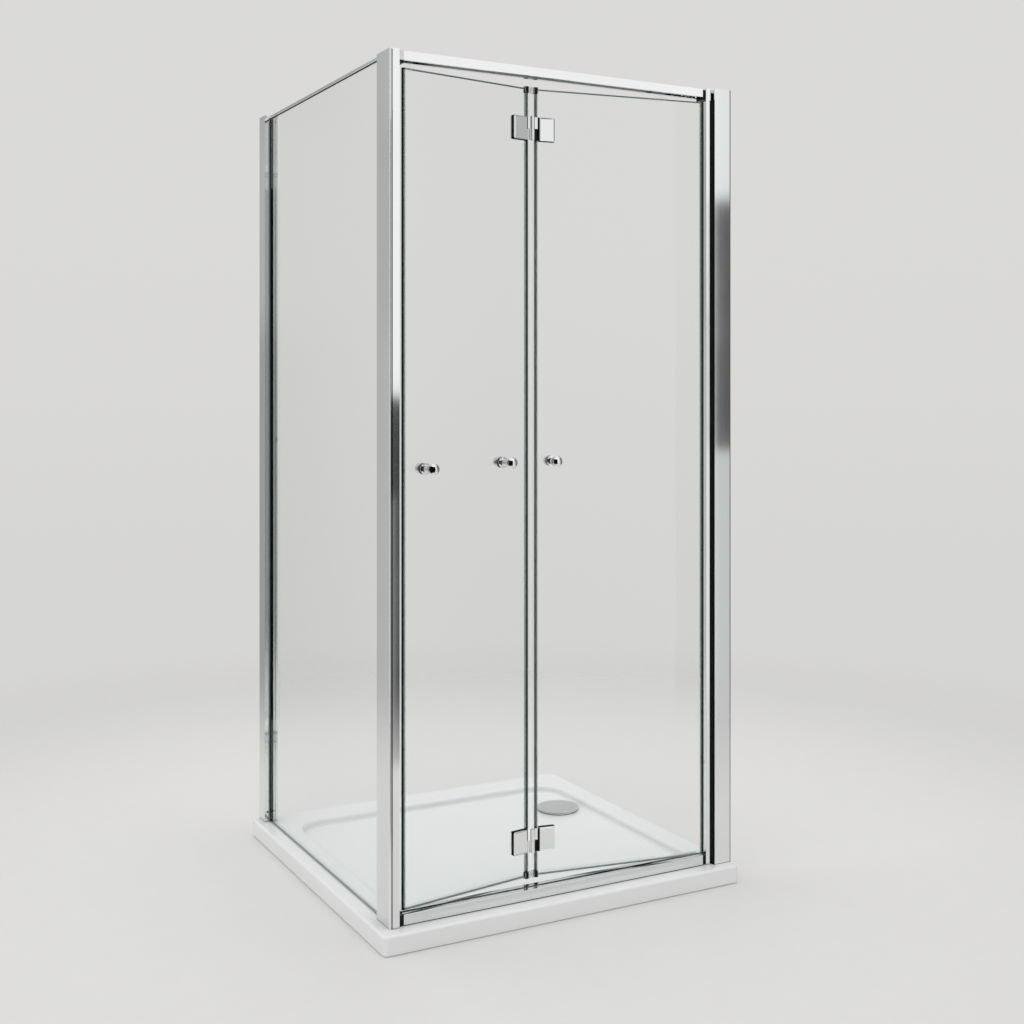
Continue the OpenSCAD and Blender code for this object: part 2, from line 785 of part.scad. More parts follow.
module jamb_screws() {
    head_d = 7;
    head_h = 2.2;
    tip = 3;
    shank = channel_d - (jamb_y - channel_from_front) - jamb_d + jamb_wall + tip;
    color(silver) from_corner() jamb_screw_places() {
        cylinder(d = head_d, h = head_h);
        translate([0, 0, -shank]) cylinder(d = screw_d - 2 * thread_gap, h = shank);
    }
}

// ---------- rails ----------

// the rail's section: a box of height h with a slot in its lower side from y0 to y1
module rail_section(h, y0, y1) {
    difference() {
        rounded_rect(rail_d, h, profile_edge_r);
        translate([rail_wall, rail_wall]) square([rail_d - 2 * rail_wall, h - 2 * rail_wall]);
        translate([y0, -cut]) square([y1 - y0, rail_wall + 2 * cut]);
    }
}

module top_rail() {
    color(silver) from_corner() run_x(rail_x0, rail_x1)
        translate([rail_from_front, top_rail_z0])
            rail_section(top_rail_h, rail_wall + top_lip_w, leaf_plane + top_slot_back);
}

// the plastic track: an inverted channel that lines the rail where the guide runs
module top_track() {
    inner_d = rail_d - 2 * rail_wall;
    z0 = rail_wall;
    h = top_rail_h - 2 * rail_wall;
    color(black) from_corner() run_x(rail_x0, pivot_x - pivot_block_w / 2)
        translate([rail_from_front + rail_wall, top_rail_z0 + z0]) difference() {
            square([inner_d, h]);
            translate([track_wall, -cut]) square([inner_d - 2 * track_wall, h - track_wall + cut]);
        }
}

// the light block that joins the top rail to the post
module top_rail_bracket() {
    proud = 1;
    edge_r = 1;
    color(silver) from_corner() run_x(post_x1, rail_x0)
        translate([rail_from_front - proud, top_rail_z0])
            rounded_rect(rail_d + proud, top_rail_h + rail_top_drop, edge_r);
}

// the plugs that join both rails to the jamb, set back from the rails' faces, and the small
// stops under both ends of the top rail
module rail_plugs() {
    set_back = 4;
    top_set = 2;
    bottom_set = 3;
    stop_set = 1;
    plug_d = jamb_d - 1.5 * set_back;
    color(black) from_corner() {
        run_x(rail_x1, jamb_x) translate([rail_from_front + set_back, 0]) {
            translate([0, top_rail_z0]) square([plug_d, top_rail_h - top_set]);
            translate([0, tray_h]) square([plug_d, sill_seal_t + bottom_rail_h - bottom_set]);
        }
        for (x = [[post_x1, rail_x0], [rail_x1, jamb_x]])
            run_x(x[0], x[1]) translate([rail_from_front + stop_set, top_rail_z0 - stop_h])
                square([jamb_d - 2 * stop_set, stop_h]);
    }
}

// the bottom rail is the same box with its slot on top and a fine line along its front
module bottom_rail() {
    line_z = 18;
    line_w = 0.8;
    line_depth = 0.6;
    color(silver) from_corner() run_x(rail_x0, rail_x1)
        translate([rail_from_front, bottom_rail_z0]) difference() {
            translate([0, bottom_rail_h]) mirror([0, 1])
                rail_section(bottom_rail_h, leaf_plane - bottom_slot_w / 2,
                             leaf_plane + bottom_slot_w / 2);
            translate([-cut, line_z]) square([cut + line_depth, line_w]);
        }
}

// the black strip that the bottom rail stands on
module sill_seal() {
    set_back = 0.8;
    color(black) from_corner() run_x(rail_x0, rail_x1)
        translate([rail_from_front + set_back, tray_h]) square([rail_d - 2 * set_back, sill_seal_t]);
}

// the black block between the post and the bottom rail
module bottom_rail_block() {
    set_back = 1;
    drop = 2;
    color(black) from_corner() run_x(post_x1, rail_x0)
        translate([rail_from_front + set_back, tray_h])
            square([rail_d - 2 * set_back, sill_seal_t + bottom_rail_h - drop]);
}

// ---------- pivots in the rails ----------

// a block that fills the rail from z0 to z1, bored for the pivot pin from bore_z0 to bore_z1
module pivot_block(z0, z1, bore_z0, bore_z1) {
    difference() {
        translate([pivot_x - pivot_block_w / 2, rail_from_front + rail_wall, z0])
            cube([pivot_block_w, rail_d - 2 * rail_wall, z1 - z0]);
        translate([pivot_x, leaf_y, bore_z0])
            cylinder(d = pivot_pin_d + 2 * running_gap, h = bore_z1 - bore_z0);
    }
}

module top_pivot_block() {
    z0 = top_rail_z0 + rail_wall;
    z1 = top_rail_z1 - rail_wall;
    color(black) from_corner() pivot_block(z0, z1, z0 - cut, z1 - pivot_bore_end);
}

module bottom_pivot_block() {
    z0 = bottom_rail_z0 + rail_wall;
    z1 = bottom_rail_z1 - rail_wall;
    color(black) from_corner() pivot_block(z0, z1, z0 + pivot_bore_end, z1 + cut);
}

// ---------- leaf parts, drawn with the door closed ----------

// a glass pane from x0 to x1, drilled for the hinge screws and the knobs; knobs lists the
// places of their axes in x and z
module leaf_glass(x0, x1, hinge_x, knobs) {
    hole_d = 10;
    difference() {
        translate([x0, leaf_y - glass_t / 2, leaf_z0]) cube([x1 - x0, glass_t, leaf_z1 - leaf_z0]);
        for (z = hinge_heights, s = [-1, 1])
            translate([hinge_x, leaf_y, z + s * screw_pitch / 2])
                rotate([90, 0, 0]) cylinder(d = hole_d, h = 2 * glass_t, center = true);
        for (k = knobs)
            translate([k[0], leaf_y, k[1]])
                rotate([90, 0, 0]) cylinder(d = hole_d, h = 2 * glass_t, center = true);
    }
}

// a seal's section: jaws on the glass edge at x = 0 and a round nose that reaches beyond
module seal_section(reach) {
    jaw_w = glass_t + 2 * seal_wall;
    difference() {
        translate([-seal_grip, -jaw_w / 2]) square([seal_grip + seal_wall, jaw_w]);
        translate([-seal_grip - cut, -glass_t / 2]) square([seal_grip + cut, glass_t]);
    }
    translate([0, -seal_nose_r])
        square([reach - seal_nose_r, 2 * seal_nose_r]);
    translate([reach - seal_nose_r, 0]) circle(seal_nose_r);
}

// the same seal standing on a leaf's upright edge at edge_x; side is 1 for a right edge,
// and end_gap is the height that its ends leave free
module upright_seal(edge_x, side, reach, end_gap) {
    translate([edge_x, leaf_y, 0]) run_z(leaf_z0 + end_gap, leaf_z1 - end_gap)
        mirror([side > 0 ? 0 : 1, 0]) seal_section(reach);
}

// the seal under a leaf, from x0 to x1, left out where a shoe of width w holds the glass
module drip_seal(x0, x1, shoe_x, w) {
    shortest = 2;
    for (stretch = [[x0, shoe_x - w / 2], [shoe_x + w / 2, x1]])
        if (stretch[1] - stretch[0] > shortest)
            run_x(stretch[0], stretch[1])
                translate([leaf_y, leaf_z0]) rotate(-90) seal_section(foot_reach);
}

// room for the hinges and their pads in the fold seals
module hinge_reliefs() {
    reach = 2 * fold_gap;
    end_gap = pad_lip + 0.5;
    for (z = hinge_heights)
        translate([fold_x, leaf_y, z]) cube([reach, reach, hinge_h + 2 * end_gap], center = true);
}

// the caps over a leaf's two corners at the fold; side is 1 for a right edge
module corner_caps(edge_x, side, reach) {
    w = glass_t + 2 * corner_wall;
    for (z = [[leaf_z0 - foot_reach, leaf_z0 + corner_lap],
              [leaf_z1 - corner_lap, leaf_z1 + corner_rise]])
        translate([edge_x, leaf_y, 0]) mirror([side > 0 ? 0 : 1, 0, 0]) difference() {
            translate([-corner_grip, -w / 2, z[0]]) cube([corner_grip + reach, w, z[1] - z[0]]);
            translate([-corner_grip - cut, -glass_t / 2, leaf_z0])
                cube([corner_grip + cut, glass_t, leaf_z1 - leaf_z0]);
        }
}

// a shoe of width w over the glass edge at height edge_z, with a pin beyond it;
// up is 1 on the top edge and -1 on the bottom edge
module pin_shoe(x, w, edge_z, up, base_t, pin_d, pin_end_z) {
    thick = glass_t + 2 * shoe_wall;
    translate([x, leaf_y, edge_z]) mirror([0, 0, up > 0 ? 0 : 1]) {
        difference() {
            translate([-w / 2, -thick / 2, -shoe_grip]) cube([w, thick, shoe_grip + base_t]);
            translate([-w, -glass_t / 2, -shoe_grip - cut]) cube([2 * w, glass_t, shoe_grip + cut]);
        }
        cylinder(d = pin_d, h = abs(pin_end_z - edge_z));
    }
}

// ---------- hinges ----------

// a plate's outline, drawn in x and z from the fold axis outwards
module plate_outline(x0, w) {
    translate([x0, -hinge_h / 2]) rounded_rect(w, hinge_h, plate_corner_r);
}

// the bevelled slab of a hinge plate: its outline, cut by two bevelled sections
module bevelled_plate(x0, w) {
    b = plate_bevel;
    bw = plate_bevel_w;
    h = hinge_h;
    t = plate_t;
    intersection() {
        run_y(plate_y0, plate_y0 + t) plate_outline(x0, w);
        run_z(-h / 2, h / 2) translate([x0, plate_y0])
            polygon([[0, b], [bw, 0], [w - bw, 0], [w, b], [w, t], [0, t]]);
        run_x(x0, x0 + w) translate([plate_y0, -h / 2])
            polygon([[0, bw], [b, 0], [t, 0], [t, h], [b, h], [0, h - bw]]);
    }
}

// a hinge plate with one knuckle, drawn for the pivot leaf, on the right of the axis;
// x0 is the plate's distance from the axis, and half is 1 if its knuckle is the upper one
module hinge_plate(x0, w, half) {
    knuckle_gap = 0.4;
    z0 = half > 0 ? knuckle_gap / 2 : -hinge_h / 2;
    h = (hinge_h - knuckle_gap) / 2;
    difference() {
        union() {
            bevelled_plate(x0, w);
            translate([0, 0, z0]) cylinder(d = barrel_d, h = h);
            translate([0, plate_y0 + plate_bevel, z0])
                cube([x0 + plate_corner_r, plate_t - plate_bevel, h]);
        }
        translate([0, 0, -hinge_h]) cylinder(d = hinge_pin_d + 2 * running_gap, h = 2 * hinge_h);
        for (s = [-1, 1])
            translate([hinge_screw_x(x0, w), plate_y0 + plate_bevel, s * screw_pitch / 2])
                rotate([-90, 0, 0]) cylinder(d = screw_d, h = plate_t);
    }
}

function hinge_screw_x(x0, w) = x0 + w / 2;

// the clamp plate behind the glass, countersunk for its screws
module hinge_clamp(x0, w) {
    difference() {
        run_y(glass_back + pad_t, clamp_y1) plate_outline(x0, w);
        for (s = [-1, 1])
            translate([hinge_screw_x(x0, w), clamp_y1, s * screw_pitch / 2]) rotate([-90, 0, 0]) {
                translate([0, 0, -clamp_t - cut])
                    cylinder(d = screw_d + 2 * head_gap, h = clamp_t + 2 * cut);
                translate([0, 0, -hinge_head_h])
                    cylinder(d1 = screw_d + 2 * head_gap, d2 = 2 * screw_d, h = hinge_head_h);
            }
    }
}

// the two thin pads between the plates and the glass, which show round the plates
module hinge_pads(x0, w) {
    start = max(fold_gap / 2, x0 - pad_lip);
    for (y = [glass_front - pad_t, glass_back])
        difference() {
            run_y(y, y + pad_t) translate([start, -hinge_h / 2 - pad_lip])
                square([x0 + w + pad_lip - start, hinge_h + 2 * pad_lip]);
            for (s = [-1, 1])
                translate([hinge_screw_x(x0, w), y, s * screw_pitch / 2])
                    rotate([90, 0, 0]) cylinder(d = 2 * screw_d, h = 4 * cut, center = true);
        }
}

// the soft buffer beside the pivot leaf's plate, which the other leaf meets when the door
// is folded; it lies on the plate's strap above and reaches back to the glass below
module hinge_buffer() {
    set_back = 0.2;
    x0 = pivot_plate_set - buffer_w;
    y0 = plate_y0 + set_back;
    translate([x0, y0, 0]) cube([buffer_w, plate_bevel - set_back, hinge_h / 2]);
    translate([x0, y0, -hinge_h / 2]) cube([buffer_w, glass_front - y0, hinge_h / 2]);
}

// countersunk screws from the clamp into the hinge plate
module hinge_screws(x0, w) {
    tip_gap = 0.3;
    length = clamp_y1 - plate_y0 - plate_bevel - tip_gap;
    for (s = [-1, 1])
        translate([hinge_screw_x(x0, w), clamp_y1, s * screw_pitch / 2]) rotate([-90, 0, 0]) {
            translate([0, 0, -hinge_head_h])
                cylinder(d1 = screw_d - 2 * thread_gap, d2 = 2 * screw_d - 2 * head_gap, h = hinge_head_h);
            translate([0, 0, -length])
                cylinder(d = screw_d - 2 * thread_gap, h = length - hinge_head_h);
        }
}

// children at both hinges, drawn from the fold axis; side is -1 on the sliding leaf
module at_hinges(side) {
    for (z = hinge_heights)
        translate([fold_x, fold_y, z]) mirror([side > 0 ? 0 : 1, 0, 0]) children();
}

// ---------- knobs ----------

// children drawn with z pointing out of the cabin, from the glass's outer face; place is
// the knob's axis in x and z
module at_knob(place) {
    translate([place[0], leaf_y - glass_t / 2, place[1]]) rotate([90, 0, 0]) children();
}

// a ball on a neck that flares to the foot, with the stud that passes the glass
module knob() {
    base_r = knob_base_d / 2;
    neck_r = knob_neck_d / 2;
    flare_r = 2.5;
    flare_base = neck_r + flare_r;
    foot_t = 2;
    end_gap = 1;
    foot_top = washer_t + foot_t;
    stud_end = glass_t + washer_t + knob_cap_h - knob_bore_end - end_gap;
    rotate_extrude() {
        intersection() {
            translate([0, ball_reach]) circle(d = ball_d);
            translate([0, ball_reach - ball_d / 2]) square(ball_d);
        }
        translate([0, washer_t]) square([base_r, foot_t]);
        difference() {
            translate([0, foot_top]) square([flare_base, flare_r]);
            translate([flare_base, foot_top + flare_r]) circle(flare_r);
        }
        translate([0, foot_top]) square([neck_r, ball_reach - foot_top - ball_d / 4]);
        translate([0, -stud_end]) square([stud_d / 2, stud_end + washer_t]);
    }
}

// the round cap inside the cabin, bored for the stud, with a rounded end
module knob_cap() {
    r = knob_base_d / 2;
    end_r = 3;
    z1 = -glass_t - washer_t;
    bore_r = stud_d / 2 + running_gap;
    rotate_extrude() translate([0, z1 - knob_cap_h]) difference() {
        union() {
            square([r - end_r, knob_cap_h]);
            translate([0, end_r]) square([r, knob_cap_h - end_r]);
            intersection() {
                translate([r - end_r, end_r]) circle(end_r);
                square([r, end_r]);
            }
        }
        translate([0, knob_bore_end]) square([bore_r, knob_cap_h]);
    }
}

// the washers on both faces of the glass
module knob_washers() {
    set_back = 0.3;
    hole_gap = 0.5;
    for (z = [0, -glass_t - washer_t])
        translate([0, 0, z]) difference() {
            cylinder(d = knob_base_d - 2 * set_back, h = washer_t);
            translate([0, 0, -cut]) cylinder(d = stud_d + 2 * hole_gap, h = washer_t + 2 * cut);
        }
}

// ---------- pivot leaf ----------

pivot_hinge_x = fold_x + hinge_screw_x(pivot_plate_set, pivot_plate_w);
pivot_knob_place = [fold_x + pivot_knob_inset, knob_z];

module pivot_glass() {
    color(glass_tint) on_pivot_leaf()
        leaf_glass(pivot_glass_x0, pivot_glass_x1, pivot_hinge_x, [pivot_knob_place]);
}

module pivot_edge_seal() {
    color(clear) on_pivot_leaf() upright_seal(pivot_glass_x1, 1, jamb_reach, 0);
}

module pivot_fold_seal() {
    color(clear) on_pivot_leaf() difference() {
        upright_seal(pivot_glass_x0, -1, fold_reach, corner_lap);
        hinge_reliefs();
    }
}

module pivot_drip_seal() {
    color(clear) on_pivot_leaf()
        drip_seal(pivot_glass_x0 + corner_grip, pivot_glass_x1 - seal_grip, pivot_x, pivot_shoe_w);
}

module pivot_corner_caps() {
    color(black) on_pivot_leaf()
        corner_caps(pivot_glass_x0, -1, fold_reach);
}

module pivot_top_shoe() {
    color(clear) on_pivot_leaf()
        pin_shoe(pivot_x, pivot_shoe_w, leaf_z1, 1, shoe_base_t, pivot_pin_d,
                 top_rail_z1 - rail_wall - pivot_bore_end - pin_end_gap);
}

module pivot_bottom_shoe() {
    color(clear) on_pivot_leaf()
        pin_shoe(pivot_x, pivot_shoe_w, leaf_z0, -1, foot_reach, pivot_pin_d,
                 bottom_rail_z0 + rail_wall + pivot_bore_end + pin_end_gap);
}

module pivot_hinge_plates() {
    color(chrome) on_pivot_leaf() at_hinges(1) hinge_plate(pivot_plate_set, pivot_plate_w, 1);
}

module pivot_hinge_clamps() {
    color(chrome) on_pivot_leaf() at_hinges(1) hinge_clamp(pivot_plate_set, pivot_plate_w);
}

module pivot_hinge_pads() {
    color(black) on_pivot_leaf() at_hinges(1) {
        hinge_pads(pivot_plate_set, pivot_plate_w);
        hinge_buffer();
    }
}

module pivot_hinge_screws() {
    color(chrome) on_pivot_leaf() at_hinges(1) hinge_screws(pivot_plate_set, pivot_plate_w);
}

module pivot_knob() {
    color(chrome) on_pivot_leaf() at_knob(pivot_knob_place) knob();
}

module pivot_knob_cap() {
    color(chrome) on_pivot_leaf() at_knob(pivot_knob_place) knob_cap();
}

module pivot_knob_washers() {
    color(black) on_pivot_leaf() at_knob(pivot_knob_place) knob_washers();
}

// ---------- sliding leaf ----------

sliding_hinge_x = fold_x - hinge_screw_x(sliding_plate_set, sliding_plate_w);
closing_knob_place = [closing_edge_x + closing_knob_inset, closing_knob_z];
sliding_knob_place = [fold_x - sliding_knob_inset, knob_z];
sliding_leaf_knobs = [closing_knob_place, sliding_knob_place];

module sliding_glass() {
    color(glass_tint) on_sliding_leaf()
        leaf_glass(closing_edge_x, sliding_glass_x1, sliding_hinge_x, sliding_leaf_knobs);
}

module closing_seal() {
    color(clear) on_sliding_leaf() upright_seal(closing_edge_x, -1, closing_reach, 0);
}

module sliding_fold_seal() {
    color(clear) on_sliding_leaf() difference() {
        upright_seal(sliding_glass_x1, 1, fold_reach, corner_lap);
        hinge_reliefs();
    }
}

module sliding_drip_seal() {
    color(clear) on_sliding_leaf()
        drip_seal(closing_edge_x + seal_grip, sliding_glass_x1 - corner_grip, guide_x, guide_shoe_w);
}

module sliding_corner_caps() {
    color(black) on_sliding_leaf()
        corner_caps(sliding_glass_x1, 1, fold_reach);
}

module guide_top_shoe() {
    color(clear) on_sliding_leaf()
        pin_shoe(guide_x, guide_shoe_w, leaf_z1, 1, shoe_base_t, guide_pin_d,
                 top_rail_z1 - rail_wall - track_wall - 2 * slide_gap);
}

module guide_bottom_shoe() {
    color(clear) on_sliding_leaf()
        pin_shoe(guide_x, guide_shoe_w, leaf_z0, -1, foot_reach, guide_pin_d,
                 bottom_rail_z0 + rail_wall + 2 * slide_gap);
}

module sliding_hinge_plates() {
    color(chrome) on_sliding_leaf() at_hinges(-1) hinge_plate(sliding_plate_set, sliding_plate_w, -1);
}

module sliding_hinge_clamps() {
    color(chrome) on_sliding_leaf() at_hinges(-1) hinge_clamp(sliding_plate_set, sliding_plate_w);
}

module sliding_hinge_pads() {
    color(black) on_sliding_leaf() at_hinges(-1) hinge_pads(sliding_plate_set, sliding_plate_w);
}

module sliding_hinge_screws() {
    color(chrome) on_sliding_leaf() at_hinges(-1) hinge_screws(sliding_plate_set, sliding_plate_w);
}

// the pins through both knuckles, with a thin head at each end
module hinge_pins() {
    head_h = 1;
    head_set = 1;
    top_gap = 0.2;
    color(chrome) on_sliding_leaf() at_hinges(-1) {
        translate([0, 0, -hinge_h / 2 - head_h])
            cylinder(d = hinge_pin_d, h = hinge_h + 2 * head_h + top_gap);
        for (z = [-hinge_h / 2 - head_h, hinge_h / 2 + top_gap])
            translate([0, 0, z]) cylinder(d = barrel_d - 2 * head_set, h = head_h);
    }
}

module closing_knob() {
    color(chrome) on_sliding_leaf() at_knob(closing_knob_place) knob();
}

module sliding_knob() {
    color(chrome) on_sliding_leaf() at_knob(sliding_knob_place) knob();
}

module sliding_knob_caps() {
    color(chrome) on_sliding_leaf() for (place = sliding_leaf_knobs) at_knob(place) knob_cap();
}

module sliding_knob_washers() {
    color(black) on_sliding_leaf() for (place = sliding_leaf_knobs) at_knob(place) knob_washers();
}

// ---------- guides ----------

// a slider with round ends, bored for the guide pin
module guide(z0, z1) {
    end_r = guide_w / 2;
    translate([guide_rest_x, leaf_y, 0]) difference() {
        run_z(z0, z1) {
            square([guide_len - guide_w, guide_w], center = true);
            for (s = [-1, 1]) translate([s * (guide_len - guide_w) / 2, 0]) circle(end_r);
        }
        translate([0, 0, z0 - cut]) cylinder(d = guide_pin_d + 2 * running_gap, h = z1 - z0 + 2 * cut);
    }
}

module top_guide() {
    color(white) from_corner()
        guide(top_rail_z0 + rail_wall + slide_gap, top_rail_z1 - rail_wall - track_wall - slide_gap);
}

module bottom_guide() {
    color(white) from_corner()
        guide(bottom_rail_z0 + rail_wall + slide_gap, bottom_rail_z1 - rail_wall - slide_gap);
}

shower_tray();
waste_seal();
waste_flange();
waste_cover();
corner_post();
post_cap();
strike_strip();
side_glass();
side_top_trim();
side_bottom_seal();
side_post_gasket();
side_channel();
side_profile();
side_profile_gasket();
side_profile_screws();
wall_channel();
jamb_profile();
jamb_gasket();
jamb_screws();
top_rail();
top_track();
top_rail_bracket();
bottom_rail();
sill_seal();
bottom_rail_block();
rail_plugs();
top_pivot_block();
bottom_pivot_block();
pivot_glass();
pivot_edge_seal();
pivot_fold_seal();
pivot_drip_seal();
pivot_corner_caps();
pivot_top_shoe();
pivot_bottom_shoe();
pivot_hinge_plates();
pivot_hinge_clamps();
pivot_hinge_pads();
pivot_hinge_screws();
pivot_knob();
pivot_knob_cap();
pivot_knob_washers();
sliding_glass();
closing_seal();
sliding_fold_seal();
sliding_drip_seal();
sliding_corner_caps();
guide_top_shoe();
guide_bottom_shoe();
sliding_hinge_plates();
sliding_hinge_clamps();
sliding_hinge_pads();
sliding_hinge_screws();
hinge_pins();
closing_knob();
sliding_knob();
sliding_knob_caps();
sliding_knob_washers();
top_guide();
bottom_guide();
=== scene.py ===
"""Looks for the bifold shower enclosure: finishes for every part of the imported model, the
turned details that show close up, and a plain pale studio."""

import json
import math

import bmesh
import bpy
from mathutils import Matrix, Vector


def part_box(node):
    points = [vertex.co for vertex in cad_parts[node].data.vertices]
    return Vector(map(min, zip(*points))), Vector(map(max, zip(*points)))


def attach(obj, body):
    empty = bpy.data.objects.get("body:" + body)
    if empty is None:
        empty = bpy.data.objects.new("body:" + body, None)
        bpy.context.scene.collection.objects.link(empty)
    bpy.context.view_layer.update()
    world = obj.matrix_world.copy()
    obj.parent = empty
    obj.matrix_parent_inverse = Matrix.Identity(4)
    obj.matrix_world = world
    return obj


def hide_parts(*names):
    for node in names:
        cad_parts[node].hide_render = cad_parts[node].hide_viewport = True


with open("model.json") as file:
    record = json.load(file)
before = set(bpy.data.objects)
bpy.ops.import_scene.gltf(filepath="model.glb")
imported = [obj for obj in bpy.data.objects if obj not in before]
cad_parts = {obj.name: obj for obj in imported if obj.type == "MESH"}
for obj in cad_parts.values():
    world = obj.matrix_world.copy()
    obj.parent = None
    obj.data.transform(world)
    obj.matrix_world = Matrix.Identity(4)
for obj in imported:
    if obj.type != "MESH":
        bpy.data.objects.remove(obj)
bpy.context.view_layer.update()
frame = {"nodes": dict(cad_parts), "record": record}
NODES = frame["nodes"]
BODY_OF = {node: body for body, nodes in frame["record"]["behaviour"]["bodies"].items()
           for node in nodes}
SLOT_OF = {part["node"]: part["material_slot"] for part in frame["record"]["subparts"]}

bl_info = {
    "name": "Bifold shower enclosure",
    "version": (1, 0, 0),
    "blender": (4, 5, 0),
    "location": "3D View > Sidebar > Enclosure",
    "description": "Dresses the packed bifold shower enclosure with finishes and details",
    "category": "Object",
}

MM = 0.001
REST_TURN = math.radians(9)      # each leaf's angle to the closed door, at rest
LEAF_TURNS = {"pivot_leaf": -REST_TURN, "sliding_leaf": REST_TURN}
SHARP = math.radians(32)         # edges of the turned pieces that bend more than this stay crisp
WHOLE_TURN = 2 * math.pi
DEGREES = math.degrees(1)        # from radians
SAME_PLACE = 0.001 * MM          # points closer than this are one point
ORDER = Vector((1.0, 97.3, 9871.7))      # puts a mesh's points and faces in one order in every run

# Shader noise lies between these for nearly all of a surface.
NOISE_LOW, NOISE_HIGH = 0.3, 0.7
DIE_LINES, DIE_RUN = 900.0, 0.7  # changes per metre across an extrusion and along it, roughly
SHADOW_SHARE = 0.12              # how much of the profiles' colour is left in full shadow
HIGHLIGHT_ROUGH, HIGHLIGHT_METAL = 0.35, 0.1       # the painted highlight's added roughness, and how metallic it is
FINE_GRAIN = 0.000001            # depth of the grain of polished and drawn metal, in metres
MOULD_GRAIN = 0.00002            # depth of moulded plastic's grain
BRUSH_LINES = 2600.0             # rings per metre on the brushed cover, roughly
BRUSH_DEPTH = 0.00001            # depth of its rings

# What polished pieces mirror all round: azimuth in degrees from -y towards +x, and brightness.
RING = [
    (-180, 0.6), (-165, 0.36), (-161, 0.36), (-156, 0.56), (-140, 0.6), (-128, 0.15),
    (-58, 0.15), (-44, 0.7), (-20, 0.8), (9, 0.9), (14, 0.92), (20, 1.0), (34, 1.0),
    (35, 1.04), (35.9, 1.04), (36.1, 0.86), (38, 0.85), (45, 0.49), (50, 0.47),
    (60, 0.22), (130, 0.22), (146, 0.66), (160, 0.66), (180, 0.6)]
# The card that the post's face mirrors goes from light to dark between these azimuths.
POST_CARD_EDGE, POST_CARD_LIGHT, POST_CARD_DARK = (22.74, 22.92), 0.36, 0.035
# Cards before the ring: from and to in azimuth, from and to in height, softness of the upper
# and lower edge, all in degrees, and brightness, which is None for the post's card.
CARDS = [
    (20.5, 24.3, -14.9, -0.6, 0.5, None),
    (20.5, 22.75, -4.2, -0.6, 0.5, 0.05),
    (35.05, 35.95, -40.0, 3.0, 0.6, 0.88),
    (36.0, 41.0, -2.2, 7.3, 0.8, 0.09),
    (36.0, 41.0, -40.0, -3.0, 0.6, 0.61),
    (16.5, 19.0, -11.5, 60.0, 1.5, 0.47),
    (16.5, 19.0, -11.5, 1.0, 3.0, 0.34),
    (-180, -140, 4.0, 9.5, 3.0, 0.47),
]
CARD_SIDE, WIDE_CARD_SIDE = 0.08, 3.0      # softness of the upright edges, in degrees
CEILING = 1.05                             # brightness that is mirrored from overhead
CEILING_FROM, CEILING_FULL, LIGHT_FULL = 35.0, 60.0, 65.0      # heights in degrees
HORIZON = (-12.0, 8.0)                     # where the backdrop's two colours meet, in degrees
SENSOR = 36.0                              # width of the camera's sensor, in millimetres


# ---------- shader expressions ----------

class Value:
    """A number that a shader works out: an expression on it adds its Math nodes."""

    def __init__(self, finish, socket):
        self.finish = finish
        self.socket = socket

    def math(self, operation, *others):
        numbers = dict(enumerate([self, *others]))
        return self.finish.number("ShaderNodeMath", {"operation": operation}, numbers)

    def __add__(self, other):
        return self.math("ADD", other)

    def __sub__(self, other):
        return self.math("SUBTRACT", other)

    def __mul__(self, other):
        return self.math("MULTIPLY", other)

    def __truediv__(self, other):
        return self.math("DIVIDE", other)

    def __radd__(self, other):
        return self.math("ADD", other)

    def __rmul__(self, other):
        return self.math("MULTIPLY", other)

    def __rsub__(self, other):
        return self.finish.number(
            "ShaderNodeMath", {"operation": "SUBTRACT"}, {0: other, 1: self})

    def __neg__(self):
        return self.math("MULTIPLY", -1.0)

    def __pow__(self, power):
        return self.math("POWER", power)

    def size(self):
        return self.math("ABSOLUTE")

    def most(self, other):
        return self.math("MAXIMUM", other)


